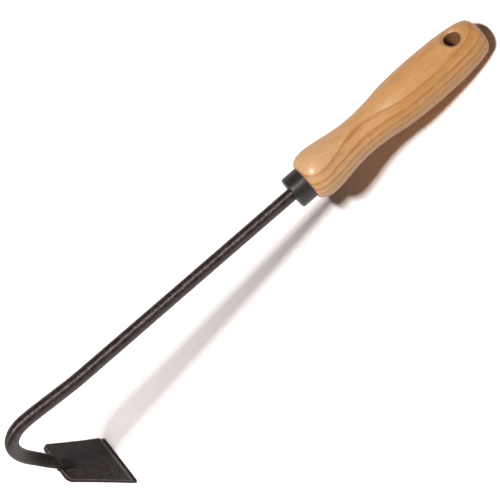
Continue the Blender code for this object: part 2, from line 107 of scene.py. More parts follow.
# The bar: corners of its square tang as a share of its width, rounding of the tongue's
# tip, where the forging marks fade in and out, and their fineness along and round it
TANG_CORNER = 0.12
TIP_DROP, TIP_REACH = 0.0006, 0.0011
MARKS_FROM, MARKS_TO = (0.004, 0.030), (0.010, 0.020)
MARKS_ALONG, MARKS_ROUND = 110, 1.3

# The plate: length over which the grinding starts, the most of its thickness that an
# arris takes up, and how many times the arris its flat faces start from the outline
GRIND_BLEND = 0.0003
ARRIS_SHARE = 0.4
ARRIS_INSET = 2.6

# A fillet's section in shares of its leg, and its size at the ends of the bead
FILLET = (
    (0.0, 0.0), (1.0, 0.0), (0.90, 0.10), (0.74, 0.24), (0.56, 0.40),
    (0.40, 0.58), (0.25, 0.77), (0.11, 0.92), (0.0, 1.0),
)
FILLET_END, FILLET_GROWTH = 0.55, 0.18
# A bead's shrinking: its share between ripples, and a slow drift with its waves per metre
RIPPLE_SHARE, DRIFT_SHARE, DRIFT_ALONG = 0.6, 0.8, 600


# ---------------------------------------------------------------- properties


def length(name, description, default, least=0.0):
    form = {"min": least, "precision": 5, "subtype": "DISTANCE", "unit": "LENGTH"}
    return FloatProperty(name=name, description=description, default=default, **form)


def turn(name, description, degrees):
    form = {"default": math.radians(degrees), "subtype": "ANGLE", "unit": "ROTATION"}
    return FloatProperty(name=name, description=description, **form)


def colour(name, description, default, most=1.0):
    form = {"size": 3, "min": 0.0, "max": most, "subtype": "COLOR"}
    return FloatVectorProperty(name=name, description=description, default=default, **form)


def amount(name, description, default):
    form = {"min": 0.0, "max": 1.0, "subtype": "FACTOR"}
    return FloatProperty(name=name, description=description, default=default, **form)


class HoeHandleSettings(bpy.types.PropertyGroup):
    seat_gap: length("Seat gap", "Gap between two pieces that touch", 0.0003)
    body: length("Length", "From the shoulder at the ferrule to the butt", 0.1432)
    shoulder: length("Shoulder", "Diameter at the ferrule", 0.0226)
    front_swell: length("Front swell", "Diameter of the swell behind the ferrule", 0.0331)
    front_swell_at: length("Front swell at", "Its distance behind the shoulder", 0.0100)
    front_flank: length("Front flank", "Diameter where the swell runs out", 0.0309)
    front_flank_at: length("Front flank at", "Its distance behind the shoulder", 0.0210)
    waist_front: length("Waist front", "Diameter ahead of the waist", 0.0274)
    waist_front_at: length("Waist front at", "Its distance behind the shoulder", 0.0330)
    waist: length("Waist", "Smallest diameter", 0.0260)
    waist_at: length("Waist at", "Its distance behind the shoulder", 0.0455)
    waist_rear: length("Waist rear", "Diameter behind the waist", 0.0279)
    waist_rear_at: length("Waist rear at", "Its distance behind the shoulder", 0.0600)
    rear_flank: length("Rear flank", "Diameter on the way to the rear swell", 0.0312)
    rear_flank_at: length("Rear flank at", "Its distance behind the shoulder", 0.0720)
    rear_swell: length("Rear swell", "Diameter of the palm swell", 0.0331)
    rear_swell_at: length("Rear swell at", "Where the palm swell starts", 0.0880)
    rear_swell_end: length("Rear swell end", "Its end, ahead of the butt", 0.0390)
    heel: length("Heel", "Diameter at the hanging hole", 0.0318)
    heel_end: length("Heel at", "Its distance ahead of the butt", 0.0222)
    butt_flank: length("Butt flank", "Diameter ahead of the butt", 0.0288)
    butt_flank_end: length("Butt flank at", "Its distance ahead of the butt", 0.0102)
    butt: length("Butt", "Diameter at the butt before its rounding", 0.0232)
    butt_rounding: length("Butt rounding", "Length of the rounded end", 0.0045)
    butt_face: length("Butt face", "Diameter of the nearly flat face", 0.0120)
    butt_dome: length("Butt dome", "How far that face is domed", 0.0006)
    hole: length("Hanging hole", "Diameter of the hole through the butt", 0.0110)
    hole_end: length("Hanging hole at", "Its middle, ahead of the butt", 0.0180)
    hole_turn: turn("Hole turn", "How far it is drilled out of the neck's plane", 4.1)
    rim_width: length("Rim width", "Width of the hole's countersunk rim", 0.0023)
    rim_depth: length("Rim depth", "Depth of that rim", 0.0019)
    rim_bulge: length("Rim bulge", "How far the rim is rounded", 0.00008)


class HoeFerruleSettings(bpy.types.PropertyGroup):
    diameter: length("Diameter", "Outside of the cap", 0.0222)
    depth: length("Length", "Along the tool", 0.0110)
    wall: length("Wall", "Thickness of the steel", 0.0015)
    corner: length("Front corner", "Radius of the pressed corner", 0.0014)
    rear_corner: length("Rear corner", "Radius of the rear edge", 0.0003)
    hole_corner: length("Hole corner", "Radius where the bar passes", 0.0003)


class HoeBarSettings(bpy.types.PropertyGroup):
    rod: length("Rod", "Diameter at the ferrule", 0.0085)
    neck: length("Neck", "Diameter in the bend", 0.0090)
    thickening_start: length("Thickening from", "Where the bar starts to get stouter", 0.0600)
    thickening: length("Thickening over", "Length over which it does", 0.1800)
    unevenness: length("Forging marks", "Depth of the marks left by forging", 0.00007)
    tang: length("Tang", "Length inside the handle", 0.0750)
    tang_round: length("Tang round", "Round start of the tang", 0.0130)
    tang_shoulder: length("Tang shoulder", "From round to square", 0.0060)
    tang_width: length("Tang width", "Across the square", 0.0062)
    tang_tip: length("Tang tip", "Across the tip", 0.0032)
    shank: length("Shank", "Straight stretch ahead of the ferrule", 0.1704)
    bow_radius: length("Bow radius", "Upward bow behind the crest", 0.1280)
    bow: turn("Bow", "Turn of the bow", 6.0)
    crest: length("Crest", "Straight stretch over the top", 0.0242)
    crown_radius: length("Crown radius", "First easy curve down", 0.0706)
    crown: turn("Crown", "Turn of the crown", 7.6)
    bend_radius: length("Bend radius", "Tightest part of the swan neck", 0.0171)
    bend: turn("Bend", "Turn of the bend", 66.2)
    opening_radius: length("Opening radius", "Curve after the bend", 0.0261)
    opening: turn("Opening", "Turn of that curve", 22.1)
    easing_radius: length("Easing radius", "Last easy curve", 0.0450)
    easing: turn("Easing", "Turn of the easing", 18.3)
    leg: length("Leg", "Straight stretch down to the tongue", 0.0292)
    crank_radius: length("Crank radius", "Small bend onto the plate", 0.0300)
    crank: turn("Crank", "Turn of the crank", 11.2)
    tongue: length("Tongue", "Flat end after the crank", 0.0094)
    lap: length("Tongue lap", "How far the tongue lies on the plate", 0.0124)
    tongue_root: length("Tongue root", "Width at the plate's rear edge", 0.0094)
    tongue_tip: length("Tongue tip", "Width near the tip", 0.0078)
    tongue_thickness: length("Tongue thickness", "Thickness of the flat", 0.0034)
    tongue_edge: length("Tongue edge", "Radius of the long edges", 0.0014)
    tip_radius: length("Tip radius", "Rounding of the tip's corners", 0.0034)
    flattening: length("Flattening", "Length from round to flat", 0.0115)
    plate_offset: length("Plate offset", "From the bar's axis to the plate", 0.0026)


class HoePlateSettings(bpy.types.PropertyGroup):
    depth: length("Length", "From the rear edge to the cutting edge", 0.0600)
    thickness: length("Thickness", "Of the plate", 0.0026)
    rear_width: length("Rear width", "Across the rear edge", 0.0335)
    edge_width: length("Edge width", "Across the cutting edge", 0.0426)
    hollow: length("Side hollow", "How far the sides are drawn in", 0.0003)
    offset: length("Offset", "Of the plate from the neck's plane", 0.0040)
    rear_corner: length("Rear corner", "Radius of the rear corners", 0.0045)
    edge_corner: length("Edge corner", "Radius at the cutting edge", 0.0022)
    grind: length("Grind", "Length of the ground slope", 0.0066)
    land: length("Land", "Thickness left at the cutting edge", 0.0004)
    arris: length("Arris", "Rounding of the plate's edges", 0.00035)


class HoeWeldSettings(bpy.types.PropertyGroup):
    leg: length("Tongue bead", "Leg of the fillet round the tongue", 0.0013)
    heel: length("Heel bead", "Radius of the bead behind the plate", 0.0009)
    ripple: length("Ripple pitch", "From one ripple to the next", 0.0012)
    ripple_depth: amount("Ripple depth", "Share of the bead's size", 0.12)


class HoeWoodSettings(bpy.types.PropertyGroup):
    pale: colour("Pale wood", "Late wood between the rings", (0.790, 0.445, 0.208))
    streak: colour("Streak", "Early wood in the growth rings", (0.520, 0.190, 0.042))
    warm: colour("Warm wood", "Golden wood towards the butt", (0.680, 0.332, 0.112))
    cut: colour("Cut wood", "Rim of the hanging hole", (0.570, 0.305, 0.155))
    # The bore's colour is darker than the wood's own: painted shade inside the hanging hole.
    bore: colour("Bored wood", "Wall of the hanging hole", (0.350, 0.168, 0.072))
    ring_spacing: length("Ring spacing", "From one growth ring to the next", 0.0041)
    first_ring: length("First ring", "Height of the uppermost ring over the axis", 0.0136)
    pith_depth: length("Pith depth", "How far below the grip the tree's centre lies", 0.2500)
    pith_side: length("Pith side", "How far to the side that centre lies", -0.0151, -1.0)


class HoeSteelSettings(bpy.types.PropertyGroup):
    bar: colour("Bar", "Dark coat on the forged bar", (0.022, 0.0115, 0.0105))
    bar_light: colour("Bar, worn", "Where the coat is thin", (0.070, 0.054, 0.050))
    plate: colour("Plate", "Dark coat on the plate", (0.036, 0.0200, 0.0185))
    plate_light: colour("Plate, worn", "Where the coat is thin", (0.065, 0.051, 0.047))
    ferrule: colour("Ferrule", "Blackened steel", (0.026, 0.0220, 0.0205))
    ferrule_light: colour("Ferrule, worn", "Rubbed steel", (0.075, 0.071, 0.068))
    # Also the colour of the painted highlight band on the plate's grind and of the painted
    # highlight along its arrises.
    bare: colour("Bare steel", "At worn edges and on the grinding", (0.300, 0.270, 0.255))


class HoeStudioSettings(bpy.types.PropertyGroup):
    floor: colour("Floor", "Pale floor, as it lights the hoe", (0.85, 0.85, 0.85))
    wall: colour("Wall", "Low wall round it, as it lights the hoe", (0.10, 0.10, 0.10))
    floor_white: colour("Floor white", "Floor as the camera sees it", (1.30, 1.20, 1.175), 2.0)
    lamp_reach: length("Lamp distance", "From the hoe to the soft lamp", 4.0)
    lamp_depth: length("Lamp depth", "Along the tool", 0.24)
    lamp_width: length("Lamp width", "Across the tool", 0.72)
    lamp: FloatProperty(name="Lamp", description="Power of the soft lamp in watts", default=161.0)
    fill: amount("Fill", "Strength of the room's own light", 0.022)
    fill_tint: colour("Fill tint", "Colour of the room's own light", (1.0, 0.96, 0.96))


# ------------------------------------------------------------ small helpers


def ease(value, start, end):
    """0 before start, 1 after end and a smooth step between them."""
    f = min(max((value - start) / (end - start), 0.0), 1.0)
    return f * f * (3 - 2 * f)


def mix(a, b, f):
    return a + (b - a) * f


def spread(start, end, count):
    """Evenly spaced values from start to end, both included."""
    return [mix(start, end, i / count) for i in range(count + 1)]


def full_turn(count):
    """Angles at even steps once round."""
    return [2 * math.pi * i / count for i in range(count)]


def smooth_through(stations, position):
    """The value at a position on a smooth curve through (position, value) stations."""
    last = len(stations) - 1

    def secant(i):
        (x0, y0), (x1, y1) = stations[i], stations[i + 1]
        return (y1 - y0) / (x1 - x0)

    def slope(i):
        if i == 0:
            return 0.0
        if i == last:
            return secant(last - 1)
        before = stations[i][0] - stations[i - 1][0]
        after = stations[i + 1][0] - stations[i][0]
        return (after * secant(i - 1) + before * secant(i)) / (before + after)

    i = 0
    while i < last - 1 and position > stations[i + 1][0]:
        i += 1
    (x0, y0), (x1, y1) = stations[i], stations[i + 1]
    span = x1 - x0
    f = min(max((position - x0) / span, 0.0), 1.0)
    return (
        y0 * (2 * f**3 - 3 * f**2 + 1)
        + y1 * (3 * f**2 - 2 * f**3)
        + slope(i) * span * (f**3 - 2 * f**2 + f)
        + slope(i + 1) * span * (f**3 - f**2)
    )


class Shell:
    """A mesh in the making: points, faces between rings of them, and cut levels by point."""

    def __init__(self):
        self.points = []
        self.faces = []
        self.cut = {}

    def ring(self, points):
        start = len(self.points)
        self.points.extend(points)
        return list(range(start, len(self.points)))

    def quad(self, ring, other, i, j):
        self.faces.append((ring[i], ring[j], other[j], other[i]))

    def join(self, rings, capped=False):
        """Faces from each ring to the next and, if capped, over both ends."""
        for ring, other in zip(rings, rings[1:]):
            for i in range(len(ring)):
                self.quad(ring, other, i, (i + 1) % len(ring))
        if capped:
            self.cap(rings[0])
            self.cap(rings[-1])

    def fan(self, ring, centre):
        for i in range(len(ring)):
            self.faces.append((ring[i], ring[(i + 1) % len(ring)], centre))

    def cap(self, ring):
        self.faces.append(tuple(ring))

    def mesh(self, name, matrix=None):
        mesh = bpy.data.meshes.new(name)
        mesh.from_pydata([tuple(point) for point in self.points], [], self.faces)
        tidy = bmesh.new()
        tidy.from_mesh(mesh)
        bmesh.ops.recalc_face_normals(tidy, faces=tidy.faces)
        tidy.to_mesh(mesh)
        tidy.free()
        if self.cut:
            store_levels(mesh, "cut", [self.cut.get(i, 0.0) for i in range(len(self.points))])
        if matrix is not None:
            mesh.transform(matrix)
        return mesh


def turned_ring(x, radius, count):
    """Points of a circle round the tool's X axis."""
    return [Vector((x, radius * math.sin(a), radius * math.cos(a))) for a in full_turn(count)]


def store_levels(mesh, name, levels):
    """Keeps a number from 0 to 1 on each point, which the materials read by name."""
    kept = mesh.attributes.new(name, "FLOAT", "POINT")
    kept.data.foreach_set("value", levels)


def store_worn_edges(mesh):
    """Keeps on each point how far its sharpest standing edge is worn."""
    shape = bmesh.new()
    shape.from_mesh(mesh)
    shape.verts.ensure_lookup_table()
    worn = [0.0] * len(shape.verts)
    for edge in shape.edges:
        if len(edge.link_faces) != 2:
            continue
        angle = edge.calc_face_angle_signed(0.0)
        if angle <= 0.0:
            continue
        first, second = (face.calc_center_median() for face in edge.link_faces)
        along = (edge.verts[1].co - edge.verts[0].co).normalized()
        across = second - first
        gap = max((across - along * across.dot(along)).length, 1e-6)
        value = ease(angle / gap, WORN_FROM, WORN_FULL)
        for vertex in edge.verts:
            worn[vertex.index] = max(worn[vertex.index], value)
    shape.free()
    store_levels(mesh, "worn", worn)


def add_piece(mesh, node, material):
    """Sets a finished mesh where the tool rests, in place of its solid."""
    mesh.transform(TOOL_TO_WORLD)
    store_worn_edges(mesh)
    mesh.shade_smooth()
    mesh.set_sharp_from_angle(angle=SHARP_ANGLE)
    mesh.materials.append(material)
    piece = bpy.data.objects.new(mesh.name, mesh)
    bpy.context.scene.collection.objects.link(piece)
    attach(piece, BODY)
    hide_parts(node)
    return piece


# ------------------------------------------------------------- the handle


def handle_front():
    hoe = bpy.context.scene
    return hoe.hoe_ferrule.depth + hoe.hoe_handle.seat_gap


def handle_radius(grip, setback):
    """The handle's radius at a distance behind its shoulder."""
    if setback < grip.front_swell_at:
        f = 1 - setback / grip.front_swell_at
        rise = (grip.front_swell - grip.shoulder) / 2
        return grip.shoulder / 2 + rise * math.sqrt(max(1 - f * f, 0.0))
    stations = (
        (grip.front_swell_at, grip.front_swell / 2),
        (grip.front_flank_at, grip.front_flank / 2),
        (grip.waist_front_at, grip.waist_front / 2),
        (grip.waist_at, grip.waist / 2),
        (grip.waist_rear_at, grip.waist_rear / 2),
        (grip.rear_flank_at, grip.rear_flank / 2),
        (grip.rear_swell_at, grip.rear_swell / 2),
        (grip.body - grip.rear_swell_end, grip.rear_swell / 2),
        (grip.body - grip.heel_end, grip.heel / 2),
        (grip.body - grip.butt_flank_end, grip.butt_flank / 2),
        (grip.body, grip.butt / 2),
    )
    radius = smooth_through(stations, setback)
    if setback > grip.body - grip.butt_rounding:
        f = min(1 - (grip.body - setback) / grip.butt_rounding, 1.0)
        face = grip.butt_face / 2
        radius = face + (radius - face) * math.sqrt(max(1 - f * f, 0.0))
    return radius


def handle_rows(grip):
    """Setbacks of the turned body's rings, and which of them bound the hole's window."""
    quarter = spread(0.0, math.pi / 2, HANDLE_ROUNDING_ROWS)
    hole = grip.body - grip.hole_end
    reach = grip.hole / 2 + grip.rim_width + HOLE_MARGIN
    body_end = grip.body - grip.butt_rounding
    rows = [grip.front_swell_at * (1 - math.cos(q)) for q in quarter]
    rows += spread(grip.front_swell_at, hole - reach, HANDLE_ROWS)[1:]
    first = len(rows) - 1
    rows += spread(hole - reach, hole + reach, HOLE_WINDOW_ROWS)[1:]
    last = len(rows) - 1
    rows += spread(hole + reach, body_end, HANDLE_END_ROWS)[1:]
    rows += [body_end + grip.butt_rounding * math.sin(q) for q in quarter[1:]]
    return rows, first, last


def window_boundary(first, last):
    """(row, column) round the hole's window in the upper side, seen from above."""
    half = HOLE_WINDOW_COLUMNS
    path = [(row, half) for row in range(first, last)]
    path += [(last, column) for column in range(half, -half, -1)]
    path += [(row, -half) for row in range(last, first, -1)]
    path += [(first, column) for column in range(-half, half)]
    return path


def handle_mesh(grip, ferrule, bar):
    """The turned grip with its tenon, the bore for the tang and the hanging hole."""
    shell = Shell()
    front = handle_front()
    rows, first, last = handle_rows(grip)
    count, half = HANDLE_COLUMNS, HOLE_WINDOW_COLUMNS

    def turned(x, radius):
        return shell.ring(turned_ring(x, radius, count))

    body = [turned(front + row, handle_radius(grip, row)) for row in rows]
    for row, (ring, other) in enumerate(zip(body, body[1:])):
        for i in range(count):
            in_window = first <= row < last and (i + half) % (count // 2) < 2 * half
            if not in_window:
                shell.quad(ring, other, i, (i + 1) % count)
    add_hanging_hole(shell, grip, body, window_boundary(first, last))

    butt = front + grip.body
    inner = [
        turned(butt + grip.butt_dome * (1 - f * f), grip.butt_face / 2 * f) for f in BUTT_RINGS
    ]
    shell.join([body[-1]] + inner)
    shell.fan(inner[-1], shell.ring([Vector((butt + grip.butt_dome, 0.0, 0.0))])[0])

    to_tool = Matrix.Rotation(-grip.hole_turn, 4, "X")
    from_tool = to_tool.inverted()
    tenon = ferrule.diameter / 2 - ferrule.wall - grip.seat_gap
    tenon_front = ferrule.wall + grip.seat_gap
    rings = [body[0], turned(front, tenon), turned(tenon_front, tenon)]
    quarter = count // 4
    for ring in reversed(tang_rings(bar, grip.seat_gap, quarter)):
        ring = [from_tool @ point for point in ring[quarter:] + ring[:quarter]]
        if ring[0].x < tenon_front:
            ring = [Vector((tenon_front, point.y, point.z)) for point in ring]
        rings.append(shell.ring(ring))
    shell.join(rings)
    shell.cap(rings[-1])
    return shell.mesh("turned_handle", to_tool)


def add_hanging_hole(shell, grip, body, window):
    """Joins the windows in the upper and lower side with rounded rims and a bore."""
    front = handle_front()
    centre = front + grip.body - grip.hole_end
    bore, width, depth = grip.hole / 2, grip.rim_width, grip.rim_depth
    count = HANDLE_COLUMNS
    slope = Vector((width, depth)).normalized()
    profile = [(bore + width + out, -down) for out, down in RIM_OUTER_EDGE]
    for f in RIM_STEPS:
        bulge = 4 * f * (1 - f) * grip.rim_bulge
        profile.append((bore + width * f - slope.y * bulge, -depth * (1 - f) + slope.x * bulge))
    profile += [(bore + out, -depth - down) for out, down in RIM_INNER_EDGE]

    def side_rings(side):
        edge = [
            body[row][(column if side > 0 else count // 2 - column) % count]
            for row, column in window
        ]
        corners = [shell.points[i] for i in edge]
        angles = [math.atan2(point.y, point.x - centre) for point in corners]
        rings = [edge]

        def circle(radius):
            return [(centre + radius * math.cos(a), radius * math.sin(a)) for a in angles]

        def add_ring(places, above):
            points = []
            for x, y in places:
                surface = math.sqrt(handle_radius(grip, x - front) ** 2 - y * y)
                points.append(Vector((x, y, side * (surface + above))))
            rings.append(shell.ring(points))

        for f in HOLE_WINDOW_STEPS:
            outer = zip(corners, circle(profile[0][0]))
            add_ring([(mix(point.x, x, f), mix(point.y, y, f)) for point, (x, y) in outer], 0.0)
        for radius, above in profile:
            add_ring(circle(radius), above)
        return rings

    upper, lower = side_rings(1), side_rings(-1)
    wall = []
    for f in spread(0.0, 1.0, HOLE_WALL_ROWS)[1:-1]:
        points = [shell.points[a].lerp(shell.points[b], f) for a, b in zip(upper[-1], lower[-1])]
        wall.append(shell.ring(points))
    shell.join(upper + wall + lower[::-1])
    rim = len(HOLE_WINDOW_STEPS) + len(RIM_OUTER_EDGE)
    for ring in upper[rim:-2] + lower[rim:-2]:
        shell.cut.update(dict.fromkeys(ring, CUT_RIM))
    # the bore's points take the level where the wood is darkened as painted shade
    for ring in upper[-2:] + wall + lower[-2:]:
        shell.cut.update(dict.fromkeys(ring, CUT_SHADED_BORE))


# ---------------------------------------------------------------- the ferrule


def arc_points(centre, radius, start, end, count):
    """Points on an arc from start to end degrees, as (x, y) pairs."""
    return [
        (centre[0] + radius * math.cos(a), centre[1] + radius * math.sin(a))
        for a in spread(math.radians(start), math.radians(end), count)
    ]


def ferrule_mesh(ferrule, bar, gap):
    """The pressed cap, turned from a closed profile of (radius, place) points."""
    outer = ferrule.diameter / 2
    inner = outer - ferrule.wall
    opening = bar.rod / 2 + gap
    corner, rear, lip = ferrule.corner, ferrule.rear_corner, ferrule.hole_corner
    profile = arc_points((outer - rear, ferrule.depth - rear), rear, 90, 0, 5)
    profile += [(outer, f) for f in spread(ferrule.depth - rear, corner, 6)[1:-1]]
    profile += arc_points((outer - corner, corner), corner, 0, -90, 12)
    profile += [(f, 0.0) for f in spread(outer - corner, opening + lip, 4)[1:-1]]
    profile += arc_points((opening + lip, lip), lip, -90, -180, 4)
    profile += [(opening, ferrule.wall), (inner, ferrule.wall), (inner, ferrule.depth)]
    shell = Shell()
    rings = [shell.ring(turned_ring(x, radius, FERRULE_COLUMNS)) for radius, x in profile]
    shell.join(rings + rings[:1])
    return shell.mesh("cap_ferrule")


# -------------------------------------------------------------------- the bar


def bar_section(half_width, outward, inward, corner, corner_points):
    """(side, outward) points of a rounded rectangle. A circle is one with full corners."""
    points = []
    middle = (outward - inward) / 2
    half_height = (outward + inward) / 2
    corner = min(corner, half_width, half_height)
    for quarter in range(4):
        for i in range(corner_points):
            angle = math.pi / 2 * (quarter + (i + 0.5) / corner_points)
            across, up = math.cos(angle), math.sin(angle)
            points.append(
                (
                    math.copysign(half_width - corner, across) + corner * across,
                    middle + math.copysign(half_height - corner, up) + corner * up,
                )
            )
    return points


def bar_ring(ahead, drop, heading, section):
    """A section set square to the bar's centre line at a point of the tool's plane."""
    out_ahead, out_drop = math.sin(heading), -math.cos(heading)
    return [
        Vector((-(ahead + out_ahead * out), -side, -(drop + out_drop * out)))
        for side, out in section
    ]


def tang_rings(bar, grown, corner_points):
    """The bar behind the ferrule's front, from the tip of its square tang, or its bore."""
    tip = bar.tang_tip / 2 + grown
    root = bar.tang_width / 2 + grown
    rod = bar.rod / 2 + grown
    corner = TANG_CORNER * bar.tang_width + grown
    square_end = bar.tang_round + bar.tang_shoulder
    stations = [
        (-bar.tang - grown, bar_section(tip, tip, tip, corner, corner_points)),
        (-square_end, bar_section(root, root, root, corner, corner_points)),
        (-bar.tang_round, bar_section(rod, rod, rod, rod, corner_points)),
    ]
    if grown:
        stations.append((0.0, bar_section(rod, rod, rod, rod, corner_points)))
    return [bar_ring(ahead, 0.0, 0.0, section) for ahead, section in stations]


def neck_line(bar):
    """(distance, ahead, drop, heading) along the bar's centre line from the ferrule's front."""
    stretches = [
        (bar.shank, 0.0),
        (bar.bow_radius * bar.bow, -bar.bow),
        (bar.crest, 0.0),
        (bar.crown_radius * bar.crown, bar.crown),
        (bar.bend_radius * bar.bend, bar.bend),
        (bar.opening_radius * bar.opening, bar.opening),
        (bar.easing_radius * bar.easing, bar.easing),
        (bar.leg, 0.0),
        (bar.crank_radius * bar.crank, bar.crank),
        (bar.tongue - bar.tip_radius, 0.0),
    ]
    distance, ahead, drop, heading = 0.0, 0.0, 0.0, 0.0
    line = [(distance, ahead, drop, heading)]

    def advance(step, bend):
        nonlocal distance, ahead, drop, heading
        chord = step if abs(bend) < 1e-9 else 2 * step / bend * math.sin(bend / 2)
        ahead += chord * math.cos(heading + bend / 2)
        drop += chord * math.sin(heading + bend / 2)
        heading += bend
        distance += step
        line.append((distance, ahead, drop, heading))

    for run, bend in stretches:
        finest = FINE_STEP if run < FINE_RUN or run == bar.leg else STRAIGHT_STEP
        steps = max(2, math.ceil(run / finest), math.ceil(abs(bend) / NECK_STEP))
        for _ in range(steps):
            advance(run / steps, bend / steps)
    reaches = [bar.tip_radius * math.sin(a) for a in spread(0.0, math.pi / 2, BAR_TIP_RINGS)]
    for before, after in zip(reaches, reaches[1:]):
        advance(after - before, 0.0)
    return line


def tongue_half_width(bar, to_tip):
    """Half the tongue's width at a distance back from its tip."""
    taper = min(to_tip / bar.lap, 1.0)
    half = mix(bar.tongue_tip, bar.tongue_root, taper) / 2
    inset = bar.tip_radius - to_tip
    if inset > 0:
        chord = math.sqrt(max(bar.tip_radius**2 - inset**2, 0.0))
        half -= bar.tip_radius - chord
    return half


def neck_section(bar, gap, distance, run, corner_points):
    """The bar's section: round, a little stouter in the neck, and flat on the plate."""
    to_tip = run - distance
    thickening = ease(distance, bar.thickening_start, bar.thickening_start + bar.thickening)
    radius = mix(bar.rod, bar.neck, thickening) / 2
    flattened_at = bar.lap + gap
    flat = 1 - ease(to_tip, flattened_at, flattened_at + bar.flattening)
    outward = bar.plate_offset - gap
    inward = bar.tongue_thickness - outward
    tip_rounding = TIP_DROP * (1 - ease(to_tip, 0.0, TIP_REACH))
    return bar_section(
        mix(radius, tongue_half_width(bar, to_tip), flat),
        mix(radius, outward, flat),
        mix(radius, inward, flat) - tip_rounding,
        mix(radius, bar.tongue_edge, flat),
        corner_points,
    )


def bar_mesh(bar, gap):
    """One forging from the tang's tip to the tongue, with shallow forging marks."""
    line = neck_line(bar)
    run = line[-1][0]
    shell = Shell()
    rings = [shell.ring(ring) for ring in tang_rings(bar, 0.0, BAR_CORNER_POINTS)]
    for distance, ahead, drop, heading in line:
        section = neck_section(bar, gap, distance, run, BAR_CORNER_POINTS)
        points = bar_ring(ahead, drop, heading, section)
        middle = Vector((-ahead, 0.0, -drop))
        marked = ease(distance, *MARKS_FROM) * ease(run - distance, *MARKS_TO)
        for i, point in enumerate(points):
            out = (point - middle).normalized()
            place = Vector((distance * MARKS_ALONG, out.y * MARKS_ROUND, out.z * MARKS_ROUND))
            dent = 0.5 + 0.5 * noise.fractal(place, 1.0, 2.0, 3)
            points[i] = point - out * bar.unevenness * marked * min(max(dent, 0.0), 1.0)
        rings.append(shell.ring(points))
    shell.join(rings, capped=True)
    return shell.mesh("forged_bar")


# ------------------------------------------------------------------ the plate


def plate_matrix(bar):
    """From the plate's own frame (X down the plate, Z off its upper face) to the tool's."""
    _, ahead, drop, heading = neck_line(bar)[-1]
    ahead -= bar.lap * math.cos(heading)
    drop -= bar.lap * math.sin(heading)
    ahead += bar.plate_offset * math.sin(heading)
    drop -= bar.plate_offset * math.cos(heading)
    place = Matrix.Translation((-ahead, 0.0, -drop))
    return place @ Matrix.Rotation(math.pi - heading, 4, "Y")


def plate_half_width(plate, along):
    """Half the plate's width, with its slightly hollow sides."""
    f = along / plate.depth
    return mix(plate.rear_width, plate.edge_width, f) / 2 - 4 * plate.hollow * f * (1 - f)


def plate_top(plate, along):
    """Height of the upper face: flat, then ground down to the land at the cutting edge."""
    slope = (plate.thickness - plate.land) / plate.grind
    past = along - (plate.depth - plate.grind)
    if past <= -GRIND_BLEND:
        return 0.0
    if past >= GRIND_BLEND:
        return -slope * past
    return -slope * (past + GRIND_BLEND) ** 2 / (4 * GRIND_BLEND)


def plate_side(plate):
    """(along, half width, normal) down one side of the plate, corners included."""
    rear, front = plate.rear_corner, plate.edge_corner
    start = plate.depth - plate.grind
    points = []
    for a in spread(0.0, math.pi / 2, 12):
        x = rear * (1 - math.cos(a))
        points.append((x, plate_half_width(plate, x) - rear * (1 - math.sin(a))))
    stops = spread(rear, start - GRIND_BLEND, PLATE_ROWS)[1:] + [start, start + GRIND_BLEND]
    stops += spread(start + GRIND_BLEND, plate.depth - front, 5)[1:]
    points += [(x, plate_half_width(plate, x)) for x in stops]
    for a in spread(0.0, math.pi / 2, 8)[1:]:
        x = plate.depth - front * (1 - math.sin(a))
        points.append((x, plate_half_width(plate, x) - front * (1 - math.cos(a))))
    side = []
    for i, (x, y) in enumerate(points):
        if i in (0, len(points) - 1):
            normal = Vector((-1.0 if i == 0 else 1.0, 0.0))
        else:
            before, after = Vector(points[i - 1]), Vector(points[i + 1])
            step = (after - before).normalized()
            normal = Vector((-step.y, step.x))
        side.append((x, y, normal))
    return side


def plate_mesh(plate, matrix):
    """The plate with rounded arrises and its ground edge."""
    side = plate_side(plate)
    last = len(side) - 1
    down = [(row, 0, x, y, normal) for row, (x, y, normal) in enumerate(side)]
    up = [
        (row, PLATE_COLUMNS, x, -y, Vector((normal.x, -normal.y)))
        for row, _, x, y, normal in reversed(down)
    ]

    def across(row, columns):
        x, y, normal = side[row]
        return [(row, j, x, mix(y, -y, j / PLATE_COLUMNS), normal) for j in columns]

    between = range(1, PLATE_COLUMNS)
    rim = down + across(last, between) + up + across(0, reversed(between))
    shell = Shell()

    def level(inset, lift, upper):
        points = []
        for _, _, x, y, normal in rim:
            thickness = plate.thickness + plate_top(plate, x)
            radius = min(plate.arris, ARRIS_SHARE * thickness)
            x -= normal.x * inset * radius
            y -= normal.y * inset * radius
            top = plate_top(plate, x)
            z = top - lift * radius if upper else -plate.thickness + lift * radius
            points.append(Vector((x, y + plate.offset, z)))
        return shell.ring(points)

    arris = [(1 - math.sin(q), 1 - math.cos(q)) for q in spread(0.0, math.pi / 2, 5)]
    arris.insert(0, (ARRIS_INSET, 0.0))
    rings = [level(inset, lift, False) for inset, lift in arris]
    rings += [level(inset, lift, True) for inset, lift in reversed(arris)]
    shell.join(rings)
    for ring in (rings[0], rings[-1]):
        grid = [[0] * (PLATE_COLUMNS + 1) for _ in side]
        for index, (row, column, *_) in zip(ring, rim):
            grid[row][column] = index
        for row in grid[1:last]:
            first, other = shell.points[row[0]], shell.points[row[-1]]
            row[1:-1] = shell.ring([first.lerp(other, j / PLATE_COLUMNS) for j in between])
        for row in range(last):
            for j in range(PLATE_COLUMNS):
                shell.quad(grid[row], grid[row + 1], j, j + 1)
            past = side[row][0] - (plate.depth - plate.grind)
            # The ground slope is shown as lightly bare steel; a narrow band near its start is
            # fully bare, a painted highlight where the grind's edge catches light.
            if ring is rings[-1] and past > -1e-6:
                bare = CUT_PAINTED_HIGHLIGHT if PAINTED_HIGHLIGHT_BAND[0] < past < PAINTED_HIGHLIGHT_BAND[1] else CUT_SLOPE
                shell.cut.update(dict.fromkeys(grid[row], bare))
    return shell.mesh("hoe_plate", matrix)


# ------------------------------------------------------------------ the welds


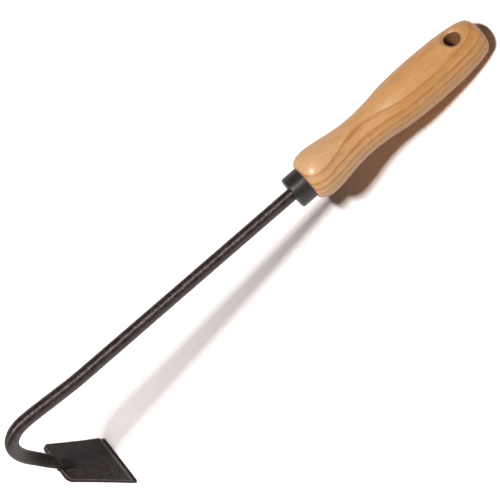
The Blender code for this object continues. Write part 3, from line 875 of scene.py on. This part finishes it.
def ripple(weld, place, seed):
    """Size of a bead at a place along it: full on a ripple's back, less between them."""
    wave = 0.5 + 0.5 * math.cos(2 * math.pi * place / weld.ripple)
    drift = 0.5 + 0.5 * noise.noise(Vector((place * DRIFT_ALONG, seed, 0.0)))
    return 1 - weld.ripple_depth * (RIPPLE_SHARE * (1 - wave**0.6) + DRIFT_SHARE * drift)


def tongue_weld_mesh(weld, bar, gap, matrix):
    """A rippled fillet between the tongue's edge and the plate's face."""
    leg = weld.leg
    straight = bar.lap - bar.tip_radius
    half = []
    for along in spread(1.5 * leg, straight, WELD_ROWS):
        half.append((along, tongue_half_width(bar, bar.lap - along) + gap, math.pi / 2))
    centre = tongue_half_width(bar, bar.tip_radius) - bar.tip_radius
    reach = bar.tip_radius + gap
    for angle in spread(math.pi / 2, 0.0, 18)[1:]:
        x, y = straight + reach * math.cos(angle), centre + reach * math.sin(angle)
        half.append((x, y, angle))
    path = half + [(straight + reach, y, 0.0) for y in spread(centre, -centre, 5)[1:-1]]
    path += [(along, -side, -angle) for along, side, angle in reversed(half)]
    shell = Shell()
    rings = []
    place = 0.0
    previous = None
    total = len(path) - 1
    for i, (along, side, angle) in enumerate(path):
        foot = Vector((along, side, gap))
        if previous is not None:
            place += (foot - previous).length
        previous = foot
        run_out = min(1.0, FILLET_END + FILLET_GROWTH * min(i, total - i))
        size = leg * run_out * ripple(weld, place, 3.0)
        out = Vector((math.cos(angle), math.sin(angle), 0.0))
        rings.append(shell.ring([foot + size * (x * out + Vector((0, 0, z))) for x, z in FILLET]))
    shell.join(rings, capped=True)
    return shell.mesh("tongue_fillet_weld", matrix)


def heel_weld_mesh(weld, bar, gap, matrix):
    """A rippled bead in the corner between the bar's underside and the plate's rear edge."""
    radius = weld.heel
    line = neck_line(bar)
    run = line[-1][0]
    lowest = 0.0
    for distance, *_ in line:
        past = bar.lap - (run - distance)
        if -(gap + radius) - 2 * radius - gap <= past <= 0.0:
            section = neck_section(bar, gap, distance, run, BAR_CORNER_POINTS)
            lowest = max(lowest, max(out for _, out in section) - bar.plate_offset)
    under = lowest + gap + radius
    half = bar.tongue_root / 2 - bar.tongue_edge
    shell = Shell()
    rings = []
    for side in spread(-half, half, HEEL_ROWS):
        end = min((half - abs(side)) / (0.2 * half), 1.0)
        size = radius * mix(0.5, 1.0, math.sqrt(end)) * ripple(weld, side + half, 9.0)
        points = [
            Vector((size * math.cos(a) - (gap + radius), side, size * math.sin(a) - under))
            for a in full_turn(HEEL_POINTS)
        ]
        rings.append(shell.ring(points))
    shell.join(rings, capped=True)
    return shell.mesh("heel_corner_weld", matrix)


# ------------------------------------------------------------------ materials

# The wood's noises: waves per metre along and across the grip
GRAIN_WANDER = (22.0, 45.0, 45.0)
GRAIN_PATCHES = (70.0, 260.0, 260.0)
GRAIN_FIBRES = (90.0, 900.0, 900.0)
GRAIN_PORES = (150.0, 1500.0, 1500.0)
GRAIN_FLUSH = (16.0, 90.0, 90.0)
# How far a growth ring wanders, and how dark it is from its start to the next one
WANDER_REACH = (0.0, 0.0016, 0.0016)
RING_CURVE = (
    (0.0, 0.30), (0.05, 0.95), (0.12, 1.0), (0.27, 0.55), (0.50, 0.25), (0.80, 0.05), (1.0, 0.30),
)
WOOD_LOOK = {
    "streaks": 0.86, "pores": 0.45, "lift": (0.88, 1.09), "rim": 0.50,
    "roughness": (0.46, 0.58), "coat": 0.32, "coat_roughness": 0.26, "relief": 0.00006,
}
# Heights in the tool's frame between which the bar's gloss grows from dull to bright,
# how metallic bare ground steel is, and how much smoother wear leaves the coat
GLOSS_FADE = (-0.040, -0.004)
GROUND_METAL = 0.85
WEAR_POLISH = 0.12


class Wiring:
    """Adds and joins the nodes of one tree."""

    def __init__(self, tree):
        self.tree = tree

    def feed(self, socket, value):
        if isinstance(value, bpy.types.NodeSocket):
            self.tree.links.new(value, socket)
        elif value is not None:
            socket.default_value = value

    def feed_all(self, node, values):
        for key, value in dict(values).items():
            self.feed(node.inputs[key], value)

    def node(self, kind, values=(), **settings):
        """A new node with its settings, and with values or links for its inputs."""
        node = self.tree.nodes.new(kind)
        for key, value in settings.items():
            setattr(node, key, value)
        self.feed_all(node, values)
        return node

    def maths(self, operation, a, b=None, clamp=False):
        settings = {"operation": operation, "use_clamp": clamp}
        return self.node("ShaderNodeMath", {0: a, 1: b}, **settings).outputs[0]

    def times(self, a, b, clamp=False):
        return self.maths("MULTIPLY", a, b, clamp)

    def vector_maths(self, operation, a, b=None):
        node = self.node("ShaderNodeVectorMath", {0: a, 1: b}, operation=operation)
        return node.outputs["Value" if operation == "LENGTH" else "Vector"]

    def split(self, vector):
        return self.node("ShaderNodeSeparateXYZ", {0: vector}).outputs

    def attribute(self, name):
        return self.node("ShaderNodeAttribute", attribute_name=name).outputs["Fac"]

    def ramp(self, value, stops):
        """A smooth greyscale curve through (position, level) stops."""
        node = self.node("ShaderNodeValToRGB", {"Fac": value})
        node.color_ramp.interpolation = "EASE"
        elements = node.color_ramp.elements
        elements[0].position, elements[-1].position = stops[0][0], stops[-1][0]
        for position, _ in stops[1:-1]:
            elements.new(position)
        for element, (_, level) in zip(elements, stops):
            element.color = (level, level, level, 1.0)
        return node.outputs["Color"]

    def remap(self, value, low, high, to_low=0.0, to_high=1.0):
        values = {
            "Value": value, "From Min": low, "From Max": high, "To Min": to_low, "To Max": to_high
        }
        node = self.node("ShaderNodeMapRange", values, interpolation_type="SMOOTHSTEP")
        return node.outputs["Result"]

    def noise(self, place, scale, detail, roughness=0.5, output="Fac"):
        """Noise with so many waves per metre, as one number or one for each axis."""
        if isinstance(scale, tuple):
            place, scale = self.vector_maths("MULTIPLY", place, scale), 1.0
        values = {"Vector": place, "Scale": scale, "Detail": detail, "Roughness": roughness}
        return self.node("ShaderNodeTexNoise", values).outputs[output]

    def blend(self, factor, first, second, mode="MIX"):
        values = {0: factor, 6: first, 7: second}
        return self.node("ShaderNodeMix", values, data_type="RGBA", blend_type=mode).outputs[2]

    def group(self, name, build, values):
        """The outputs of a node group, which is built where it is first used."""
        tree = bpy.data.node_groups.get(name) or build(name)
        return self.node("ShaderNodeGroup", values, node_tree=tree).outputs


def new_group(name, numbers, outputs):
    """A node group that takes a place and some numbers with defaults, and gives numbers."""
    group = bpy.data.node_groups.new(name, "ShaderNodeTree")
    group.interface.new_socket("Place", in_out="INPUT", socket_type="NodeSocketVector")
    for label, default in numbers.items():
        socket = group.interface.new_socket(label, in_out="INPUT", socket_type="NodeSocketFloat")
        socket.default_value = default
    for label in outputs:
        group.interface.new_socket(label, in_out="OUTPUT", socket_type="NodeSocketFloat")
    wires = Wiring(group)
    return group, wires, wires.node("NodeGroupInput").outputs, wires.node("NodeGroupOutput")


def build_ash_grain(name):
    """Growth rings round a pith line, with fibres along the grip."""
    group, wires, given, result = new_group(
        name,
        {"Ring Spacing": 0.004, "First Ring": 0.0, "Pith Depth": 0.25, "Pith Side": 0.0},
        ("Streaks", "Fibres", "Pores", "Flush"),
    )
    place = given["Place"]
    wander = wires.noise(place, GRAIN_WANDER, 2.0, output="Color")
    shift = wires.vector_maths("SUBTRACT", wander, (0.5, 0.5, 0.5))
    shift = wires.vector_maths("MULTIPLY", shift, WANDER_REACH)
    moved = wires.split(wires.vector_maths("ADD", place, shift))
    side = wires.maths("SUBTRACT", moved["Y"], given["Pith Side"])
    height = wires.maths("ADD", moved["Z"], given["Pith Depth"])
    flat = wires.node("ShaderNodeCombineXYZ", {"Y": side, "Z": height})
    reach = wires.vector_maths("LENGTH", flat.outputs[0])
    first = wires.maths("ADD", given["First Ring"], given["Pith Depth"])
    below = wires.maths("SUBTRACT", first, reach)
    rings = wires.maths("DIVIDE", below, given["Ring Spacing"])

    # the first ring is faint on the side toward +Y, the others are full all round
    line = wires.ramp(wires.maths("FRACT", rings), RING_CURVE)
    line = wires.times(line, wires.remap(rings, -0.05, 0.0))
    later = wires.remap(rings, 0.85, 1.0)
    near = wires.remap(moved["Y"], -0.001, 0.004, 1.0, 0.2)
    line = wires.times(line, wires.maths("MAXIMUM", later, near))
    patch = wires.noise(place, GRAIN_PATCHES, 3.0, 0.6)
    strength = wires.remap(patch, 0.30, 0.70, 0.55, 1.15)
    streak = wires.times(line, strength, clamp=True)

    pore = wires.remap(wires.noise(place, GRAIN_PORES, 1.0), 0.58, 0.70)
    dash = wires.times(pore, wires.remap(line, 0.1, 0.8, 0.25, 1.0))
    golden = wires.remap(wires.split(place)["X"], 0.025, 0.100)
    drift = wires.remap(wires.noise(place, GRAIN_FLUSH, 2.0), 0.35, 0.65, -0.22, 0.22)
    fibre = wires.noise(place, GRAIN_FIBRES, 4.0, 0.65)
    golden = wires.maths("ADD", golden, drift, clamp=True)
    wires.feed_all(result, {"Streaks": streak, "Fibres": fibre, "Pores": dash, "Flush": golden})
    return group


def build_steel_skin(name):
    """Mottling, fine grit and small pale flecks of a coated forging."""
    group, wires, given, result = new_group(
        name, {"Mottle": 180.0, "Grit": 2200.0}, ("Shade", "Grain", "Flecks")
    )
    place = given["Place"]
    broad = wires.noise(place, given["Mottle"], 4.0, 0.55)
    fine = wires.noise(place, given["Grit"], 3.0, 0.6)
    fleck = wires.noise(place, wires.times(given["Grit"], 0.45), 2.0, 0.7)
    shade, flecks = wires.remap(broad, 0.36, 0.66), wires.remap(fleck, 0.60, 0.74)
    wires.feed_all(result, {"Shade": shade, "Grain": fine, "Flecks": flecks})
    return group


def build_worn_edges(name):
    """How far the finish is rubbed off standing edges."""
    group, wires, given, result = new_group(name, {"Patchiness": 500.0}, ("Wear",))
    patch = wires.noise(given["Place"], given["Patchiness"], 3.0)
    rubbed = wires.remap(patch, 0.34, 0.62, 0.35, 1.0)
    wear = wires.times(wires.attribute("worn"), rubbed, clamp=True)
    wires.feed_all(result, {"Wear": wear})
    return group


def new_material(name):
    """A material with its shader, and the place of each point in the tool's frame."""
    material = bpy.data.materials.new(name)
    material.use_nodes = True
    wires = Wiring(material.node_tree)
    shader = material.node_tree.nodes["Principled BSDF"]
    where = wires.node("ShaderNodeTexCoord").outputs["Object"]
    values = {"Vector": where, "Location": TOOL_PLACE, "Rotation": (0.0, TOOL_TILT, 0.0)}
    place = wires.node("ShaderNodeMapping", values, vector_type="TEXTURE")
    return material, wires, shader, place.outputs["Vector"]


def solid(tint):
    return (*tint, 1.0)


def bump(wires, shader, height, distance, strength=1.0):
    values = {"Height": height, "Distance": distance, "Strength": strength}
    wires.feed(shader.inputs["Normal"], wires.node("ShaderNodeBump", values).outputs["Normal"])


def ash_material(wood):
    """Lacquered ash with growth rings, pores, a raw rim, and a bore darkened with painted shade in
    its hole.
    """
    look = WOOD_LOOK
    material, wires, shader, place = new_material("lacquered_ash_grain")
    values = {
        "Place": place,
        "Ring Spacing": wood.ring_spacing,
        "First Ring": wood.first_ring,
        "Pith Depth": wood.pith_depth,
        "Pith Side": wood.pith_side,
    }
    grain = wires.group("ash_grain", build_ash_grain, values)
    streaks, fibres, pores = grain["Streaks"], grain["Fibres"], grain["Pores"]
    tint = wires.blend(grain["Flush"], solid(wood.pale), solid(wood.warm))
    tint = wires.blend(wires.times(streaks, look["streaks"]), tint, solid(wood.streak))
    lift = wires.remap(fibres, 0.25, 0.75, *look["lift"])
    shade = wires.node("ShaderNodeCombineXYZ", {0: lift, 1: lift, 2: lift})
    tint = wires.blend(1.0, tint, shade.outputs[0], "MULTIPLY")
    dark = wires.times(pores, look["pores"])
    tint = wires.blend(dark, tint, solid([0.6 * part for part in wood.streak]))
    cut = wires.attribute("cut")
    rim = wires.times(wires.remap(cut, 0.0, CUT_RIM), look["rim"])
    tint = wires.blend(rim, tint, solid(wood.cut))
    # painted shade: the bore's wood is darkened toward the bore colour
    tint = wires.blend(wires.remap(cut, CUT_RIM, CUT_SHADED_BORE), tint, solid(wood.bore))
    rough = wires.remap(fibres, 0.2, 0.8, *look["roughness"])
    rough = wires.maths("ADD", rough, wires.times(streaks, 0.05))
    values = {
        "Base Color": tint,
        "Roughness": rough,
        "Coat Weight": look["coat"],
        "Coat Roughness": look["coat_roughness"],
    }
    wires.feed_all(shader, values)
    relief = wires.maths("SUBTRACT", fibres, wires.times(pores, 0.8))
    bump(wires, shader, relief, look["relief"], 0.5)
    return material


def steel_material(steel, name, coat, look):
    """A coated steel: look holds its grit, mottling, roughness and wear."""
    dark, light, bare = getattr(steel, coat), getattr(steel, coat + "_light"), steel.bare
    material, wires, shader, place = new_material(name)
    values = {"Place": place, "Mottle": look["mottle"], "Grit": look["grit"]}
    skin = wires.group("steel_skin", build_steel_skin, values)
    values = {"Place": place, "Patchiness": look["patchiness"]}
    edges = wires.group("worn_edges", build_worn_edges, values)
    shade = wires.times(skin["Shade"], look["mottling"])
    flecks = wires.times(skin["Flecks"], look["flecks"])
    wear = wires.times(edges["Wear"], look["wear"])
    # bare ground steel on the plate's slope, with a painted highlight band along it
    ground = wires.attribute("cut")
    tint = solid(dark)
    for factor, over in ((shade, light), (flecks, light), (wear, bare), (ground, bare)):
        tint = wires.blend(factor, tint, solid(over))
    rough = wires.remap(skin["Grain"], 0.25, 0.75, *look["roughness"])
    rough = wires.maths("SUBTRACT", rough, wires.times(wear, WEAR_POLISH))
    dull, bright = look["specular"]
    if dull != bright:
        bright = wires.remap(wires.split(place)["Z"], *GLOSS_FADE, dull, bright)
    values = {
        "Base Color": tint,
        "Metallic": wires.times(ground, GROUND_METAL),
        "Roughness": rough,
        "Specular IOR Level": bright,
        "Specular Tint": solid(look["gloss"]),
    }
    wires.feed_all(shader, values)
    pits = wires.times(skin["Shade"], look["pitting"])
    bump(wires, shader, wires.maths("ADD", skin["Grain"], pits), look["relief"])
    if look["drawn"] > 0.0:
        # drawn and turned work reflects lamps as long streaks along the tool
        along = (math.cos(TOOL_TILT), 0.0, -math.sin(TOOL_TILT))
        axis = wires.node(
            "ShaderNodeVectorTransform", {0: along}, vector_type="VECTOR", convert_from="OBJECT"
        )
        wires.feed_all(shader, {"Tangent": axis.outputs[0], "Anisotropic": look["drawn"]})
    return material


BAR_LOOK = {
    "mottle": 260.0, "grit": 900.0, "patchiness": 500.0, "mottling": 0.30, "flecks": 0.60,
    "wear": 0.50, "roughness": (0.42, 0.54), "specular": (0.07, 0.90), "drawn": 0.86,
    "gloss": (1.0, 0.87, 0.85), "pitting": 0.5, "relief": 0.00019,
}
# The plate's strong edge wear is partly real rubbed edges and partly a painted highlight along its
# arrises.
PLATE_LOOK = {
    "mottle": 210.0, "grit": 1000.0, "patchiness": 420.0, "mottling": 0.55, "flecks": 0.55,
    "wear": 0.85, "roughness": (0.46, 0.60), "specular": (0.14, 0.14), "drawn": 0.0,
    "gloss": (1.0, 0.92, 0.90), "pitting": 0.5, "relief": 0.00004,
}
FERRULE_LOOK = {
    "mottle": 320.0, "grit": 3000.0, "patchiness": 700.0, "mottling": 0.25, "flecks": 0.12,
    "wear": 0.80, "roughness": (0.44, 0.50), "specular": (0.58, 0.58), "drawn": 0.76,
    "gloss": (1.0, 0.95, 0.94), "pitting": 0.3, "relief": 0.00002,
}
WELD_LOOK = {
    "mottle": 700.0, "grit": 2600.0, "patchiness": 900.0, "mottling": 0.45, "flecks": 0.50,
    "wear": 0.30, "roughness": (0.38, 0.52), "specular": (0.25, 0.25), "drawn": 0.0,
    "gloss": (1.0, 0.92, 0.90), "pitting": 1.0, "relief": 0.00008,
}


# ------------------------------------------------------------------ operators


class HOE_OT_add_handle(bpy.types.Operator):
    """Adds the turned ash grip with its hanging hole"""

    bl_idname = "hoe.add_handle"
    bl_label = "Add Handle"

    def execute(self, context):
        scene = context.scene
        mesh = handle_mesh(scene.hoe_handle, scene.hoe_ferrule, scene.hoe_bar)
        add_piece(mesh, "handle", ash_material(scene.hoe_wood))
        return {"FINISHED"}


class HOE_OT_add_ferrule(bpy.types.Operator):
    """Adds the pressed steel cap between the grip and the bar"""

    bl_idname = "hoe.add_ferrule"
    bl_label = "Add Ferrule"

    def execute(self, context):
        scene, name = context.scene, "blackened_ferrule_steel"
        mesh = ferrule_mesh(scene.hoe_ferrule, scene.hoe_bar, scene.hoe_handle.seat_gap)
        material = steel_material(scene.hoe_steel, name, "ferrule", FERRULE_LOOK)
        add_piece(mesh, "ferrule", material)
        return {"FINISHED"}


class HOE_OT_add_bar(bpy.types.Operator):
    """Adds the forged bar: tang, shank, swan neck and tongue"""

    bl_idname = "hoe.add_bar"
    bl_label = "Add Bar"

    def execute(self, context):
        scene = context.scene
        mesh = bar_mesh(scene.hoe_bar, scene.hoe_handle.seat_gap)
        material = steel_material(scene.hoe_steel, "coated_forged_bar", "bar", BAR_LOOK)
        add_piece(mesh, "shank", material)
        return {"FINISHED"}


class HOE_OT_add_plate(bpy.types.Operator):
    """Adds the hoe plate with its ground edge"""

    bl_idname = "hoe.add_plate"
    bl_label = "Add Plate"

    def execute(self, context):
        scene = context.scene
        mesh = plate_mesh(scene.hoe_plate, plate_matrix(scene.hoe_bar))
        material = steel_material(scene.hoe_steel, "coated_plate_steel", "plate", PLATE_LOOK)
        add_piece(mesh, "blade", material)
        return {"FINISHED"}


class HOE_OT_add_welds(bpy.types.Operator):
    """Adds the two weld beads that hold the plate on the tongue"""

    bl_idname = "hoe.add_welds"
    bl_label = "Add Welds"

    def execute(self, context):
        scene = context.scene
        gap, matrix = scene.hoe_handle.seat_gap, plate_matrix(scene.hoe_bar)
        material = steel_material(scene.hoe_steel, "coated_weld_metal", "plate", WELD_LOOK)
        tongue = tongue_weld_mesh(scene.hoe_weld, scene.hoe_bar, gap, matrix)
        heel = heel_weld_mesh(scene.hoe_weld, scene.hoe_bar, gap, matrix)
        add_piece(tongue, "tongue_weld", material)
        add_piece(heel, "heel_weld", material)
        return {"FINISHED"}


class HOE_OT_set_stage(bpy.types.Operator):
    """Sets the pale floor, the soft studio light and the camera"""

    bl_idname = "hoe.set_stage"
    bl_label = "Set Stage"

    def execute(self, context):
        studio = context.scene.hoe_studio
        add_floor(studio)
        add_lights(studio)
        add_camera(context.scene)
        context.scene.view_settings.view_transform = "Standard"
        return {"FINISHED"}


# ---------------------------------------------------------------------- stage

# The sweep is a round floor with a curved low wall. The lamp hangs along the slant.
SWEEP_RADIUS = 2.0
SWEEP_COVE = 0.4
SWEEP_HEIGHT = 0.42
LIGHT_SLANT = Vector((-0.124, -0.188, 1.0))
# The camera's place, its turn in degrees, and its lens and sensor in millimetres
CAMERA_PLACE = (0.2322423, -0.6291367, 1.0031965)
CAMERA_TURN = (15.333959, 31.894589, -42.011066)
CAMERA_LENS = 133.596
CAMERA_SENSOR = 36.0
CAMERA_CLIP = (0.05, 20.0)


def seen_directly(wires):
    """1 for rays from the camera and for those that a gloss or glass sends on."""
    path = wires.node("ShaderNodeLightPath")
    seen = wires.maths("MAXIMUM", path.outputs["Is Camera Ray"], path.outputs["Is Glossy Ray"])
    return wires.maths("MAXIMUM", seen, path.outputs["Is Transmission Ray"])


def sweep_mesh():
    """A round floor that curves up into a low wall."""
    flat = SWEEP_RADIUS - SWEEP_COVE
    profile = [(flat * f, 0.0) for f in (0.1, 0.4, 0.7, 1.0)]
    profile += [
        (flat + SWEEP_COVE * math.sin(a), SWEEP_COVE * (1 - math.cos(a)))
        for a in spread(0.0, math.pi / 2, 12)[1:]
    ]
    profile.append((SWEEP_RADIUS, SWEEP_HEIGHT))
    shell = Shell()
    rings = []
    for radius, z in profile:
        turns = full_turn(SWEEP_COLUMNS)
        points = [Vector((radius * math.cos(a), radius * math.sin(a), z)) for a in turns]
        rings.append(shell.ring(points))
    shell.join(rings)
    shell.cap(rings[0])
    mesh = shell.mesh("studio_sweep")
    mesh.shade_smooth()
    for face in mesh.polygons:
        face.material_index = 1 if face.center.z > 0.001 else 0  # the wall's, or the floor's
    return mesh


def new_backdrop(mesh, name):
    """A new material on a mesh: its wiring, a matt shader and the socket for its surface."""
    material = bpy.data.materials.new(name)
    material.use_nodes = True
    mesh.materials.append(material)
    nodes = material.node_tree.nodes
    nodes.remove(nodes["Principled BSDF"])
    wires = Wiring(material.node_tree)
    matt = wires.node("ShaderNodeBsdfDiffuse")
    return wires, matt, nodes["Material Output"].inputs["Surface"]


def add_pale_floor(mesh, studio):
    """A matt floor with its shadows, 1.0 in reflections and brighter to the camera."""
    wires, matt, surface = new_backdrop(mesh, "pale_studio_floor")
    to_camera = wires.node("ShaderNodeLightPath").outputs["Is Camera Ray"]
    shown = wires.blend(to_camera, solid((1.0, 1.0, 1.0)), solid(studio.floor_white))
    wires.feed(matt.inputs["Color"], wires.blend(seen_directly(wires), solid(studio.floor), shown))
    wires.feed(surface, matt.outputs[0])


def add_pale_wall(mesh, studio):
    """A wall that shines white to the camera and in reflections, and is dim to all else."""
    wires, matt, surface = new_backdrop(mesh, "pale_studio_wall")
    wires.feed(matt.inputs["Color"], solid(studio.wall))
    white = wires.node("ShaderNodeEmission")
    values = {0: seen_directly(wires), 1: matt.outputs[0], 2: white.outputs[0]}
    wires.feed(surface, wires.node("ShaderNodeMixShader", values).outputs[0])


def add_floor(studio):
    mesh = sweep_mesh()
    add_pale_floor(mesh, studio)
    add_pale_wall(mesh, studio)
    floor = bpy.data.objects.new("studio_sweep", mesh)
    bpy.context.scene.collection.objects.link(floor)


def add_lights(studio):
    """A strip softbox set across the tool, and the room's own faint light."""
    lamp = bpy.data.lights.new("soft_lamp", "AREA")
    lamp.shape = "RECTANGLE"
    lamp.size, lamp.size_y = studio.lamp_depth, studio.lamp_width
    lamp.energy = studio.lamp
    softbox = bpy.data.objects.new("soft_lamp", lamp)
    back = LIGHT_SLANT.normalized()
    side = back.cross(Vector((1.0, 0.0, 0.0))).normalized()
    turned = Matrix((side.cross(back), side, back)).transposed()
    softbox.matrix_world = Matrix.Translation(back * studio.lamp_reach) @ turned.to_4x4()
    bpy.context.scene.collection.objects.link(softbox)
    world = bpy.data.worlds.new("studio_room")
    world.use_nodes = True
    bpy.context.scene.world = world
    room = world.node_tree.nodes["Background"]
    room.inputs["Color"].default_value = solid(studio.fill_tint)
    room.inputs["Strength"].default_value = studio.fill


def add_camera(scene):
    lens = bpy.data.cameras.new("studio_camera")
    lens.lens = CAMERA_LENS
    lens.sensor_width = CAMERA_SENSOR
    lens.clip_start, lens.clip_end = CAMERA_CLIP
    camera = bpy.data.objects.new("studio_camera", lens)
    camera.location = CAMERA_PLACE
    camera.rotation_euler = [math.radians(angle) for angle in CAMERA_TURN]
    scene.collection.objects.link(camera)
    scene.camera = camera


# ---------------------------------------------------------------------- panel

SETTINGS = {
    "hoe_handle": HoeHandleSettings,
    "hoe_ferrule": HoeFerruleSettings,
    "hoe_bar": HoeBarSettings,
    "hoe_plate": HoePlateSettings,
    "hoe_weld": HoeWeldSettings,
    "hoe_wood": HoeWoodSettings,
    "hoe_steel": HoeSteelSettings,
    "hoe_studio": HoeStudioSettings,
}
OPERATORS = (
    HOE_OT_add_handle,
    HOE_OT_add_ferrule,
    HOE_OT_add_bar,
    HOE_OT_add_plate,
    HOE_OT_add_welds,
    HOE_OT_set_stage,
)


class HOE_PT_pieces(bpy.types.Panel):
    """Lists the hoe's pieces and its stage"""

    bl_idname = "HOE_PT_pieces"
    bl_label = "Hand Draw Hoe"
    bl_space_type = "VIEW_3D"
    bl_region_type = "UI"
    bl_category = "Hoe"

    def draw(self, context):
        for operator in OPERATORS:
            self.layout.operator(operator.bl_idname)
        for name, group in SETTINGS.items():
            column = self.layout.column(align=True)
            for key in group.__annotations__:
                column.prop(getattr(context.scene, name), key)


def register():
    for group in (*SETTINGS.values(), *OPERATORS, HOE_PT_pieces):
        bpy.utils.register_class(group)
    for name, group in SETTINGS.items():
        setattr(bpy.types.Scene, name, PointerProperty(type=group))


def unregister():
    for name in SETTINGS:
        delattr(bpy.types.Scene, name)
    for group in reversed((*SETTINGS.values(), *OPERATORS, HOE_PT_pieces)):
        bpy.utils.unregister_class(group)


def main():
    register()
    bpy.ops.hoe.add_handle()
    bpy.ops.hoe.add_ferrule()
    bpy.ops.hoe.add_bar()
    bpy.ops.hoe.add_plate()
    bpy.ops.hoe.add_welds()
    bpy.ops.hoe.set_stage()


if __name__ == "__main__":
    main()
